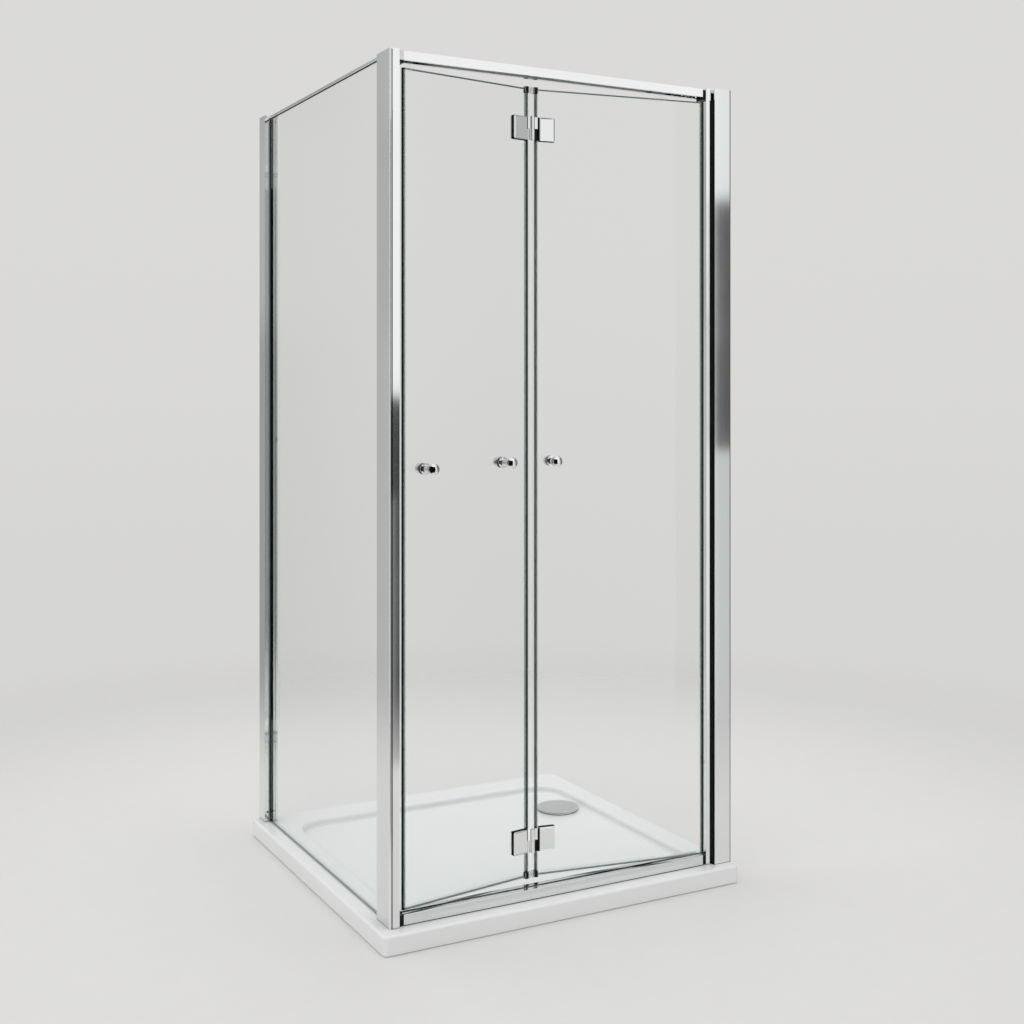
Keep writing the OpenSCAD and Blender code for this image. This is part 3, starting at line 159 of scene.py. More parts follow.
class Finish:
    """The node tree of one material, or of the studio's light."""

    def __init__(self, name, tree=None):
        self.material = None
        if tree is None:
            self.material = bpy.data.materials.new(name)
            self.material.use_nodes = True
            tree = self.material.node_tree
        tree.nodes.clear()
        self.tree = tree

    def node(self, kind, settings=None, values=None):
        """Adds a node: its settings first, then the values or links of its sockets."""
        made = self.tree.nodes.new(kind)
        for name, setting in (settings or {}).items():
            if name == "stops":
                self.set_stops(made.color_ramp, setting)
            else:
                setattr(made, name, setting)
        for name, value in (values or {}).items():
            socket = made.inputs[name]
            if isinstance(value, Value):
                self.tree.links.new(value.socket, socket)
            elif isinstance(value, bpy.types.NodeSocket):
                self.tree.links.new(value, socket)
            else:
                socket.default_value = value
        return made

    @staticmethod
    def set_stops(ramp, stops):
        while len(ramp.elements) < len(stops):
            ramp.elements.new(0.5)
        for element, (place, colour) in zip(ramp.elements, stops):
            element.position = place
            element.color = colour

    def number(self, kind, settings=None, values=None, output=0):
        return Value(self, self.node(kind, settings, values).outputs[output])

    def place(self, scale=(1, 1, 1), turn=0.0, shift=(0, 0, 0)):
        """Object coordinates, scaled, turned about z and shifted."""
        point = self.node("ShaderNodeTexCoord").outputs["Object"]
        return self.node("ShaderNodeMapping", {"vector_type": "POINT"}, {
            "Vector": point, "Location": shift, "Rotation": (0, 0, turn),
            "Scale": scale}).outputs["Vector"]

    def axes(self, vector):
        parts = self.node("ShaderNodeSeparateXYZ", None, {"Vector": vector})
        return [Value(self, parts.outputs[i]) for i in range(3)]

    def noise(self, vector, scale, detail=3.0, roughness=0.55):
        return self.number("ShaderNodeTexNoise", None, {
            "Vector": vector, "Scale": scale, "Detail": detail, "Roughness": roughness}, "Fac")

    def ramp(self, value, low, high, to_low=0.0, to_high=1.0, smooth=False):
        settings = {"interpolation_type": "SMOOTHSTEP" if smooth else "LINEAR", "clamp": True}
        return self.number("ShaderNodeMapRange", settings, {
            "Value": value, "From Min": low, "From Max": high,
            "To Min": to_low, "To Max": to_high})

    def spread(self, noise, to_low=0.0, to_high=1.0):
        """Noise spread over a range."""
        return self.ramp(noise, NOISE_LOW, NOISE_HIGH, to_low, to_high)

    def within(self, value, low, high, soft):
        """1 between low and high, fading to 0 over soft beyond them."""
        return self.ramp(value, low - soft, low, smooth=True) * self.ramp(
            value, high, high + soft, 1.0, 0.0, True)

    def blend(self, share, first, second):
        """A mix of two colours."""
        mix = self.node("ShaderNodeMix", {"data_type": "RGBA"}, {0: share, 6: first, 7: second})
        return mix.outputs[2]

    def bump(self, height, depth, strength):
        return self.node("ShaderNodeBump", None, {
            "Strength": strength, "Distance": depth, "Height": height}).outputs["Normal"]

    def level(self, value):
        """A grey of this brightness."""
        return self.node("ShaderNodeCombineColor", None, {0: value, 1: value, 2: value}).outputs[0]

    def surface(self, **values):
        """The Principled surface, with its sockets' names written with underscores."""
        return self.node("ShaderNodeBsdfPrincipled", None, {
            name.replace("_", " "): value for name, value in values.items()})

    def join(self, share, first, second):
        """A mix of two shaders."""
        return self.node("ShaderNodeMixShader", None, {
            0: share, 1: first.outputs[0], 2: second.outputs[0]})

    def done(self, shader):
        kind = "ShaderNodeOutputMaterial" if self.material else "ShaderNodeOutputWorld"
        self.node(kind, None, {"Surface": shader.outputs[0]})
        return self.material


def colour(rgb, alpha=1.0):
    return (*tuple(rgb)[:3], alpha)


def shade(rgb, share):
    """A colour made darker or lighter by a share."""
    return colour([min(c * share, 1.0) for c in rgb])


def grey(level):
    return (level, level, level, 1)


# ---------- finishes ----------

def acrylic_finish(look):
    """Glossy white acrylic with the softest mottling and wiped, slightly uneven gloss."""
    f = Finish("white_acrylic")
    point = f.place()
    mottle = f.noise(point, 3.0, 4.0)
    wear_and_highlight = f.noise(point, 12.0, 3.0)
    tone = f.blend(f.spread(mottle, 0.0, 0.35), colour(look.acrylic), shade(look.acrylic, 0.965))
    return f.done(f.surface(
        Base_Color=tone, Roughness=f.ramp(wear_and_highlight, 0.35, 0.75, 0.2, 0.26), Specular_IOR_Level=0.4))


def drawn_metal(look, name, run, painted_shade_share=1.0, masks=None):
    """Bright anodised aluminium with the fine die lines of its extrusion along one axis.
    masks gives, from x, y and z, how much painted shade each point takes, and how much of a
    painted highlight, or None."""
    f = Finish(name)
    stretch = [DIE_RUN if axis == run else DIE_LINES for axis in "xyz"]
    lines = f.noise(f.place(scale=stretch), 1.0, 2.0)
    cloud = f.noise(f.place(), 5.0)
    # painted_shade_share darkens the silver as painted shade
    tone = f.blend(f.spread(cloud), shade(look.silver, painted_shade_share),
                   shade(look.silver, painted_shade_share * 0.975))
    rough = f.spread(lines, 0.035, 0.055) + f.ramp(cloud, 0.4, 0.8, 0.0, 0.015)
    metal = 1.0
    if masks:
        shadow, painted_highlight = masks(f, *f.axes(f.place()))
        # painted shade from the masks darkens the colour
        tone = f.blend(shadow, tone, shade(look.silver, SHADOW_SHARE))
        # painted highlight: lightens the colour towards the pale edge colour, and roughens it
        if painted_highlight:
            tone = f.blend(painted_highlight, tone, colour(look.highlight_edge))
            rough = rough + painted_highlight * HIGHLIGHT_ROUGH
            metal = f.ramp(painted_highlight, 0.0, 1.0, 1.0, HIGHLIGHT_METAL)
    return f.done(f.surface(
        Base_Color=tone, Metallic=metal, Roughness=rough, Normal=f.bump(lines, FINE_GRAIN, 0.3)))


def painted_foot_shade(f, z):
    """Painted shade: a thin dark line at the profiles' feet, where they meet the tray."""
    tray_top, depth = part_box("shower_tray")[1].z, 0.85
    return f.ramp(z, tray_top + 1.0 * MM, tray_top + 1.6 * MM, depth, 0.0, True)


def post_masks(look):
    """Painted shade in the post's groove and at its foot, and a painted highlight along its outer
    corner.
    """
    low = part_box("corner_post")[0]

    def masks(f, x, y, z):
        start = low.x + look.groove_from_corner
        groove = f.within(x, start, start + look.groove_width, 0.1 * MM)
        behind_face = f.ramp(y, low.y + 0.15 * MM, low.y + 0.5 * MM)
        before_back = f.ramp(y, low.y + 3 * MM, low.y + 4 * MM, 1.0, 0.0)
        near_side, near_front = (
            f.ramp(place, edge + 1.6 * MM, edge + 2.6 * MM, 1.0, 0.0)
            for place, edge in ((x, low.x), (y, low.y)))
        # strength of the painted shade in the groove, and of the painted highlight along the corner
        depth, wear_and_highlight = 0.65, 0.9
        shadow = groove * behind_face * before_back * depth
        return shadow.most(painted_foot_shade(f, z)), near_side * near_front * wear_and_highlight
    return masks


def foot_masks(f, x, y, z):
    """The painted shade at the foot alone."""
    return painted_foot_shade(f, z), None


def channel_masks(f, x, y, z):
    """Painted shade at the channel's foot and along its outer edge."""
    edge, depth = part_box("wall_channel")[1].x, 0.88
    shaded = f.ramp(x, edge - 5.6 * MM, edge - 4.2 * MM, 0.0, depth)
    return shaded.most(painted_foot_shade(f, z)), None


def chrome_finish(look):
    """Polished chrome with faint handling smudges."""
    f = Finish("chrome_fitting")
    point = f.place()
    smudge = f.noise(point, 38.0, 4.0)
    grain = f.noise(point, 900.0, 2.0)
    return f.done(f.surface(
        Base_Color=colour(look.chrome), Metallic=1.0,
        Roughness=f.ramp(smudge, 0.45, 0.8, 0.03, 0.09), Normal=f.bump(grain, FINE_GRAIN, 0.3)))


def satin_cover_finish(look, centre):
    """The waste cover: satin metal brushed round its centre."""
    f = Finish("satin_cover")
    x, y, z = f.axes(f.place(shift=(-centre.x, -centre.y, 0)))
    radius = (x * x + y * y) ** 0.5
    outward = f.node("ShaderNodeCombineXYZ", None, {0: radius * BRUSH_LINES}).outputs[0]
    rings = f.noise(outward, 1.0, 2.0)
    tone = f.blend(f.spread(rings), colour(look.cover), shade(look.cover, 0.9))
    return f.done(f.surface(
        Base_Color=tone, Metallic=1.0, Roughness=f.spread(rings, 0.29, 0.36),
        Normal=f.bump(rings, BRUSH_DEPTH, 0.4)))


def glass_finish(look, name, box, turn, sides, ends):
    """Clear toughened glass: it shows what is behind it, mirrors more at a slant, and goes
    dark green at its edges. box is the pane's low and high corner before its turn about the
    origin; sides are the widths of its dark upright borders at its low and high end, and ends
    that of the level ones."""
    f = Finish(name)
    low, high = box
    x, y, z = f.axes(f.place(turn=-turn))
    i = 0 if high[0] - low[0] > high[1] - low[1] else 1
    along = (x, y)[i]
    side = ((low[i] + sides[0]) - along).most(along - (high[i] - sides[1]))
    end = (z - (low[2] + high[2]) / 2).size() - ((high[2] - low[2]) / 2 - ends)
    soft = 0.3 * MM
    rim = f.ramp(side.most(end), 0.0, soft, smooth=True)
    upright = f.ramp(side, 0.0, soft)
    slant = f.number("ShaderNodeLayerWeight", None, {"Blend": 0.5}, "Facing")
    at_slant = 0.5                       # how much more it mirrors at the flattest slant
    mirror = (slant ** 5.0) * at_slant + look.glass_mirror
    shine = f.surface(Base_Color=(0.96, 0.97, 0.97, 1), Metallic=1.0, Roughness=0.0)
    clear = f.node("ShaderNodeBsdfTransparent", None, {"Color": colour(look.glass_tint)})
    pane = f.join(mirror, clear, shine)
    depth = f.noise(f.place(scale=(1, 1, 0.4)), 60.0, 2.0)
    dark = f.blend(depth, colour(look.glass_edge), shade(look.glass_edge, 1.6))
    # the level edges take a lighter grey than the upright ones: painted light, for the light that
    # falls on them
    edge = f.surface(
        Base_Color=f.blend(upright, colour(look.glass_level), dark),
        Roughness=0.12, Specular_IOR_Level=0.1)
    return f.done(f.join(rim, pane, edge))


def clear_seal_finish(look):
    """Clear flexible sealing strip, a little milky, with faint lines along its length."""
    f = Finish("clear_seal")
    lines = f.noise(f.place(scale=(700, 700, 2)), 1.0, 2.0)
    cloud = f.noise(f.place(), 30.0)
    body = f.surface(
        Base_Color=f.blend(cloud, colour(look.seal), shade(look.seal, 0.93)),
        Roughness=f.spread(lines, 0.12, 0.25), Specular_IOR_Level=0.3)
    clear = f.node("ShaderNodeBsdfTransparent", None, {"Color": colour(look.seal_clear)})
    share = f.spread(cloud, look.seal_body * 0.8, look.seal_body * 1.2)
    return f.done(f.join(share, clear, body))


def rubber_finish(look):
    """Black rubber with a dry, slightly dusty skin."""
    f = Finish("black_rubber")
    dust = f.noise(f.place(), 30.0, roughness=0.5)
    tone = f.blend(f.ramp(dust, 0.35, 0.75, 0.0, 0.3), colour(look.rubber), shade(look.rubber, 1.5))
    return f.done(f.surface(
        Base_Color=tone, Roughness=f.ramp(dust, 0.3, 0.8, 0.5, 0.6), Specular_IOR_Level=0.1))


def moulded_finish(name, tint, low, high, gloss=0.5):
    """Moulded plastic with a fine spark-eroded grain, its roughness from low to high."""
    f = Finish(name)
    point = f.place()
    grain = f.noise(point, 1100.0)
    cloud = f.noise(point, 26.0)
    tone = f.blend(f.spread(cloud), colour(tint), shade(tint, 0.88))
    return f.done(f.surface(
        Base_Color=tone, Roughness=f.spread(grain, low, high),
        Normal=f.bump(grain, MOULD_GRAIN, 0.4), Specular_IOR_Level=gloss))


def cap_finish(look, node, pane, fold_side):
    """A leaf's corner cap: dark along the glass edge, clear at both sides of it. pane is the
    glass's low and high corner, and fold_side is 1 where the fold is at its high end, else -1."""
    f = Finish(node)
    turn = LEAF_TURNS[BODY_OF[node]]
    x, y, z = f.axes(f.place(turn=-turn))
    edge = pane[fold_side > 0].x
    start, end = sorted([edge + fold_side * MM, edge - fold_side * look.edge_width])
    dark = f.within(x, start, end, 0.5 * MM)
    grain = f.noise(f.place(), 900.0, 2.0)
    black = f.surface(Base_Color=colour(look.black), Roughness=f.spread(grain, 0.3, 0.42),
                      Specular_IOR_Level=0.2)
    milky = f.surface(Base_Color=colour(look.seal), Roughness=0.25)
    clear = f.node("ShaderNodeBsdfTransparent", None, {"Color": shade(look.seal_clear, 0.93)})
    return f.done(f.join(dark, f.join(0.3, clear, milky), black))


def screw_finish(look):
    """The side profile's screws: black outside the pane and bright inside the cabin."""
    f = Finish("profile_screw")
    x, y, z = f.axes(f.place())
    low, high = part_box("side_profile_screws")
    inside = f.ramp(x, (low.x + high.x) / 2 - MM, (low.x + high.x) / 2 + MM)
    grain = f.noise(f.place(), 700.0, 2.0)
    return f.done(f.surface(
        Base_Color=f.blend(inside, colour(look.black), colour(look.silver)),
        Metallic=inside, Roughness=f.spread(grain, 0.3, 0.4)))


def track_finish(look):
    """The rail's lining: pale, with painted shade darkening it at its left end."""
    f = Finish("track_lining")
    x, y, z = f.axes(f.place())
    grain = f.noise(f.place(scale=(2, 500, 500)), 1.0)
    dark_until, lit_from = -0.34, -0.3
    # painted shade: black at the left end, going over to the lining's colour
    tone = f.blend(f.ramp(x, dark_until, lit_from), colour(look.black), colour(look.track))
    return f.done(f.surface(Base_Color=tone, Roughness=f.spread(grain, 0.35, 0.5),
                            Specular_IOR_Level=0.2))


def finish(nodes, material):
    """Puts one material on CAD nodes, in every slot."""
    for node in nodes:
        slots = NODES[node].data.materials
        if not slots:
            slots.append(material)
        for i in range(len(slots)):
            slots[i] = material


# ---------- turned pieces ----------

def islands(node):
    """The boxes of a node's separate solids, each seen with its leaf turned back to the
    closed door's direction, from left to right and then upwards."""
    shape = bmesh.new()
    shape.from_mesh(NODES[node].data)
    bmesh.ops.remove_doubles(shape, verts=shape.verts, dist=SAME_PLACE)
    back = Matrix.Rotation(-LEAF_TURNS.get(BODY_OF[node], 0.0), 4, "Z")
    bmesh.ops.transform(shape, matrix=back, verts=shape.verts)
    left, boxes = set(shape.verts), []
    while left:
        group, waiting = set(), [left.pop()]
        while waiting:
            vert = waiting.pop()
            group.add(vert)
            near = {edge.other_vert(vert) for edge in vert.link_edges} - group
            left -= near
            waiting.extend(near)
        boxes.append((Vector([min(v.co[i] for v in group) for i in range(3)]),
                      Vector([max(v.co[i] for v in group) for i in range(3)])))
    shape.free()
    return sorted(boxes, key=lambda box: (round(box[0].x, 3), round(box[0].z, 3), box[0].y))


def arc(centre, radius, start, end, steps):
    """Points of an arc in a profile, from one angle to another in degrees."""
    angles = [math.radians(start + (end - start) * i / steps) for i in range(steps + 1)]
    return [(centre[0] + radius * math.cos(a), centre[1] + radius * math.sin(a)) for a in angles]


def turned(profile, place, axis, segments, socket=None):
    """A closed turned shape. profile lists its radius and its distance along the axis, in
    millimetres, from one end to the other; socket gives, from an angle, the radius of the
    points that are marked by a negative radius."""
    near = SAME_PLACE / MM
    shape = bmesh.new()
    verts = [shape.verts.new((radius, 0, along)) for radius, along in profile]
    edges = [shape.edges.new(pair) for pair in zip(verts, verts[1:])]
    bmesh.ops.spin(shape, geom=verts + edges, cent=(0, 0, 0), axis=(0, 0, 1), dvec=(0, 0, 0),
                   angle=WHOLE_TURN, steps=segments, use_merge=True, use_duplicate=False)
    marked = [(-radius, along) for radius, along in profile if radius < 0]
    for vert in shape.verts:
        flat = vert.co.xy
        if any(abs(along - vert.co.z) < near and abs(radius - flat.length) < near
               for radius, along in marked):
            vert.co.x, vert.co.y = flat.normalized() * socket(math.atan2(flat.y, flat.x))
    bmesh.ops.remove_doubles(shape, verts=shape.verts, dist=near / 10)
    bmesh.ops.recalc_face_normals(shape, faces=shape.faces)
    turn = axis.to_track_quat("Z", "Y").to_matrix().to_4x4()
    bmesh.ops.transform(shape, matrix=Matrix.Translation(place) @ turn @ Matrix.Scale(MM, 4),
                        verts=shape.verts)
    shape.verts.sort(key=lambda vert: vert.co @ ORDER)
    shape.faces.sort(key=lambda face: face.calc_center_median() @ ORDER)
    return shape


def cross_socket(angle, reach=1.7, width=0.75):
    """How far a cross-shaped recess reaches at an angle."""
    a = abs((angle + math.pi / 4) % (math.pi / 2) - math.pi / 4)
    return min(reach / math.cos(a), width / 2 / max(math.sin(a), 0.001))


def hex_socket(angle, across=2.6):
    """How far a hexagon recess reaches at an angle."""
    a = angle % (math.pi / 3) - math.pi / 6
    return across / 2 / math.cos(a)


def piece(name, shapes, node, material):
    """One object made from turned shapes that stand for a CAD node, on that node's body. The
    shapes come as with the door closed, and are turned with the leaf to its place at rest."""
    body = BODY_OF[node]
    whole = bmesh.new()
    for shape in shapes:
        for edge in shape.edges:
            edge.smooth = edge.calc_face_angle(0.0) < SHARP
        for face in shape.faces:
            face.smooth = True
        part = bpy.data.meshes.new(name)
        shape.to_mesh(part)
        shape.free()
        whole.from_mesh(part)
        bpy.data.meshes.remove(part)
    turn = Matrix.Rotation(LEAF_TURNS.get(body, 0.0), 4, "Z")
    bmesh.ops.transform(whole, matrix=turn, verts=whole.verts)
    mesh = bpy.data.meshes.new(name)
    whole.to_mesh(mesh)
    whole.free()
    made = bpy.data.objects.new(name, mesh)
    bpy.context.scene.collection.objects.link(made)
    mesh.materials.append(material)
    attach(made, body)
    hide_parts(node)


# ---------- settings ----------

def tint(name, description, default):
    return bpy.props.FloatVectorProperty(
        name=name, description=description, subtype="COLOR", size=3, min=0, max=1, default=default)


def amount(name, description, default, low=0.0, high=10.0, **more):
    return bpy.props.FloatProperty(
        name=name, description=description, default=default, min=low, max=high, **more)


class EnclosureFinishes(bpy.types.PropertyGroup):
    """Colours and surfaces of the enclosure."""
    acrylic: tint("Tray", "Colour of the acrylic tray", (0.86, 0.868, 0.865))
    silver: tint("Profiles", "Colour of the bright anodised profiles", (0.86, 0.87, 0.87))
    # colour of the painted highlight along the post's outer corner
    highlight_edge: tint("Post edge", "Colour of the post's soft light edge", (0.96, 0.96, 0.96))
    chrome: tint("Chrome", "Colour of the hinges and knobs", (0.87, 0.88, 0.88))
    cover: tint("Waste cover", "Colour of the satin waste cover", (0.74, 0.755, 0.75))
    glass_tint: tint("Glass", "Colour that one face of the glass lets through",
                     (0.982, 0.99, 0.987))
    glass_edge: tint("Glass edge", "Colour of the glass edges", (0.007, 0.018, 0.018))
    # painted light: a lighter grey than the upright edges, for the light that falls on the level
    # ones
    glass_level: tint("Level glass edge", "Colour of the glass edges above and below",
                      (0.22, 0.27, 0.28))
    seal: tint("Seals", "Colour of the clear seals", (0.80, 0.83, 0.82))
    seal_clear: tint("Seal clearness", "Colour that one face of a seal lets through",
                     (0.968, 0.978, 0.974))
    rubber: tint("Rubber", "Colour of the black gaskets", (0.0035, 0.0045, 0.005))
    black: tint("Black plastic", "Colour of the black plastic fittings", (0.004, 0.005, 0.006))
    track: tint("Track lining", "Colour of the rail's lining where light reaches it",
                (0.62, 0.63, 0.63))
    gasket: tint("Side gasket", "Colour of the grey gasket of the side pane", (0.27, 0.29, 0.29))
    washer: tint("Washers", "Colour of the washers under the knobs", (0.17, 0.18, 0.18))
    bracket: tint("Bracket", "Colour of the light bracket on the post", (0.93, 0.935, 0.93))
    glass_mirror: amount("Glass mirror", "Share of light that the glass mirrors head on",
                         0.022, 0, 1)
    seal_body: amount("Seal body", "Share of light that one face of the clear seals stops",
                      0.012, 0.0, 1)
    edge_width: amount("Edge width", "Width of the dark upright edges of the leaves",
                       6.0 * MM, 0.0, 0.02, unit="LENGTH")
    groove_from_corner: amount("Groove place", "Distance from the post's side to its groove",
                               3.0 * MM, 0.0, 0.02, unit="LENGTH")
    groove_width: amount("Groove width", "Width of the post's shadow groove",
                         4.0 * MM, 0.0, 0.02, unit="LENGTH")


class EnclosureStage(bpy.types.PropertyGroup):
    """The studio and the camera."""
    backdrop: tint("Backdrop", "Colour behind the enclosure's top", (0.705, 0.70, 0.687))
    backdrop_low: tint("Low backdrop", "Colour behind the enclosure's foot", (0.672, 0.668, 0.656))
    floor: tint("Floor", "Colour of the floor", (0.735, 0.728, 0.715))
    azimuth: amount("Camera azimuth", "Angle of the camera round the enclosure",
                    math.radians(-28.9), -math.pi, math.pi, subtype="ANGLE")
    place: bpy.props.FloatVectorProperty(
        name="Camera place", description="Where the camera stands", size=3,
        subtype="TRANSLATION", default=(-1.5406, -3.0897, 1.1673))
    lens: amount("Lens", f"Focal length in millimetres on a {SENSOR:g} mm sensor", 48.7, 20, 200)
    shift: bpy.props.FloatVectorProperty(
        name="Lens shift", description="How far the lens is shifted, as a share of the frame",
        size=2, default=(-0.0283, -0.1204))
    fill: amount("Fill light", "Brightness of the even light all round", 0.68, 0, 5)
    overhead: amount("Overhead light", "Brightness that is added overhead", 1.05, 0, 5)
    side: amount("Side light", "Brightness that is added from the left", 0.2, 0, 5)


# ---------- operators ----------

def settings():
    return bpy.context.scene.enclosure_finishes


def in_slot(slot):
    """The CAD nodes that the record gives one material slot."""
    return [node for node, its_slot in SLOT_OF.items() if its_slot == slot]


class TrayFinish(bpy.types.Operator):
    """Finish the acrylic tray and its waste"""
    bl_idname = "enclosure.tray_finish"
    bl_label = "Tray and waste"

    def execute(self, context):
        look = settings()
        finish(["shower_tray"], acrylic_finish(look))
        low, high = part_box("waste_cover")
        finish(["waste_cover"], satin_cover_finish(look, (low + high) / 2))
        return {"FINISHED"}


class ProfileFinish(bpy.types.Operator):
    """Finish the extruded profiles along the way that they were drawn"""
    bl_idname = "enclosure.profile_finish"
    bl_label = "Profiles and rails"

    def execute(self, context):
        look = settings()
        finish(["corner_post", "post_cap"],
               drawn_metal(look, "drawn_post", "z", masks=post_masks(look)))
        finish(["side_channel", "side_profile", "jamb_profile"],
               drawn_metal(look, "drawn_upright", "z", masks=foot_masks))
        finish(["wall_channel"], drawn_metal(look, "drawn_channel", "z", masks=channel_masks))
        finish(["top_rail"], drawn_metal(look, "drawn_rail", "x"))
        # painted shade: the low rail takes the profiles' silver darkened to 0.89
        finish(["bottom_rail"], drawn_metal(look, "drawn_low_rail", "x", 0.89))
        finish(["side_top_trim"], drawn_metal(look, "drawn_trim", "y"))
        finish(["top_rail_bracket"], moulded_finish("light_bracket", look.bracket, 0.29, 0.36))
        return {"FINISHED"}


class GlassFinish(bpy.types.Operator):
    """Finish the three glass panes with their dark green edges"""
    bl_idname = "enclosure.glass_finish"
    bl_label = "Glass"

    def execute(self, context):
        look = settings()
        low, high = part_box("side_glass")
        held = (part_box("side_post_gasket")[1].y - low.y + 2.5 * MM,
                high.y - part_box("side_profile_gasket")[0].y + 9 * MM)
        free = (look.edge_width, look.edge_width)
        for node, sides, ends in (("side_glass", held, 0.7 * MM), ("pivot_glass", free, 2.2 * MM),
                                  ("sliding_glass", free, 2.2 * MM)):
            turn = LEAF_TURNS.get(BODY_OF[node], 0.0)
            finish([node], glass_finish(look, node, islands(node)[0], turn, sides, ends))
        return {"FINISHED"}


class SealFinish(bpy.types.Operator):
    """Finish the seals, the gaskets, the plastic fittings, the corner caps and the track"""
    bl_idname = "enclosure.seal_finish"
    bl_label = "Seals and gaskets"

    def execute(self, context):
        look = settings()
        finish(in_slot("clear_seal"), clear_seal_finish(look))
        finish(in_slot("black_rubber"), rubber_finish(look))
        finish(in_slot("black_plastic"),
               moulded_finish("black_plastic", look.black, 0.3, 0.42, 0.2))
        for leaf, fold_side in (("pivot", -1), ("sliding", 1)):
            caps = leaf + "_corner_caps"
            finish([caps], cap_finish(look, caps, islands(leaf + "_glass")[0], fold_side))
        finish(["top_track"], track_finish(look))
        finish(["side_profile_gasket"],
               moulded_finish("grey_gasket", look.gasket, 0.4, 0.55, 0.2))
        finish(["pivot_knob_washers", "sliding_knob_washers"],
               moulded_finish("grey_washer", look.washer, 0.35, 0.5, 0.3))
        return {"FINISHED"}


class HardwareFinish(bpy.types.Operator):
    """Finish the hinges and turn the knobs, caps and screws"""
    bl_idname = "enclosure.hardware_finish"
    bl_label = "Hinges and knobs"

    def execute(self, context):
        look = settings()
        chrome = chrome_finish(look)
        finish([node for node in in_slot("chrome_fitting") if node != "waste_cover"], chrome)
        for node in ("pivot_knob", "sliding_knob", "closing_knob"):
            piece(node + "_turned", [self.knob(*box) for box in islands(node)], node, chrome)
        for node in ("pivot_knob_cap", "sliding_knob_caps"):
            piece(node + "_turned", [self.cap(*box) for box in islands(node)], node, chrome)
        for node in ("pivot_hinge_screws", "sliding_hinge_screws"):
            piece(node + "_turned", [self.sunk_screw(*box) for box in islands(node)], node, chrome)
        for node, side, material in (("jamb_screws", 1, chrome),
                                     ("side_profile_screws", -1, screw_finish(look))):
            shapes = [self.pan_screw(*box, side) for box in islands(node)]
            piece(node + "_turned", shapes, node, material)
        return {"FINISHED"}

    @staticmethod
    def end_place(low, high, y):
        """The middle of one end of a box whose length lies along y."""
        return Vector(((low.x + high.x) / 2, y, (low.z + high.z) / 2))

    def knob(self, low, high):
        """A ball on a neck that flares to the foot, with its stud behind the glass."""
        length = (high.y - low.y) / MM
        ball_r, stud, foot, foot_tall, neck, flare, edge = 13.0, 3.0, 12.5, 2.0, 8.5, 1.1, 0.5
        foot_to_ball = 31.8                     # from the foot's back to the ball's centre
        ball = length - ball_r                  # the ball's centre, from the stud's end
        base = ball - foot_to_ball              # the foot's back, on its washer
        front = base + foot_tall
        neck_meets = math.degrees(math.asin(neck / ball_r))
        profile = [(0, 0), (stud - edge, 0), (stud, edge), (stud, base), (foot - edge, base)]
        profile += arc((foot - edge, base + edge), edge, -90, 0, 4)
        profile += arc((foot - edge, front - edge), edge, 0, 90, 4)
        profile += arc((neck + flare, front + flare), flare, 270, 180, 8)
        profile += arc((0, ball), ball_r, neck_meets - 90, 90, 40)
        return turned(profile, self.end_place(low, high, high.y), Vector((0, -1, 0)), 64)

    def cap(self, low, high):
        """The round cap inside the cabin, with a rounded end and a shallow dimple."""
        r, length = (high.x - low.x) / 2 / MM, (high.y - low.y) / MM
        edge, end, dimple = 0.4, 3.0, 0.35
        profile = [(0, 0), (r - edge, 0), *arc((r - edge, edge), edge, -90, 0, 3)]
        profile += arc((r - end, length - end), end, 0, 90, 10)
        profile += [(r * 0.55, length), (r * 0.5, length - dimple), (0, length - dimple)]
        return turned(profile, self.end_place(low, high, low.y), Vector((0, 1, 0)), 56)

    def sunk_screw(self, low, high):
        """A countersunk screw with a hexagon socket, its head towards the cabin."""
        head, length = (high.x - low.x) / 2 / MM, (high.y - low.y) / MM
        shank, depth, edge, tip = 1.55, 2.0, 0.15, 0.5
        profile = [(0, -1.5), (-1.4, -1.3), (-1.41, -0.1), (-1.5, 0), (head - edge, 0),
                   (head, -edge), (shank, -depth), (shank, tip - length), (shank - tip, -length),
                   (0, -length)]
        return turned(profile, self.end_place(low, high, high.y), Vector((0, 1, 0)), 36,
                      hex_socket)

    def pan_screw(self, low, high, side):
        """A pan-head screw with a cross recess; side is 1 where its head looks along +y."""
        head, length = (high.x - low.x) / 2 / MM, (high.y - low.y) / MM
        shank, tall = 1.55, head * (0.5 if side > 0 else 0.4)
        flat, crown = head * 0.62, head * 0.3
        profile = [(0, -tall * 0.7), (-1.0, -tall * 0.55), (-1.75, -0.02), (flat, 0)]
        profile += arc((flat, -crown), crown, 90, 20, 6)[1:]
        profile += [(head, -tall * 0.75), (head, -tall), (shank, -tall), (shank, 0.4 - length),
                    (shank - 0.45, -length), (0, -length)]
        face = high.y if side > 0 else low.y
        return turned(profile, self.end_place(low, high, face), Vector((0, side, 0)), 48,
                      cross_socket)


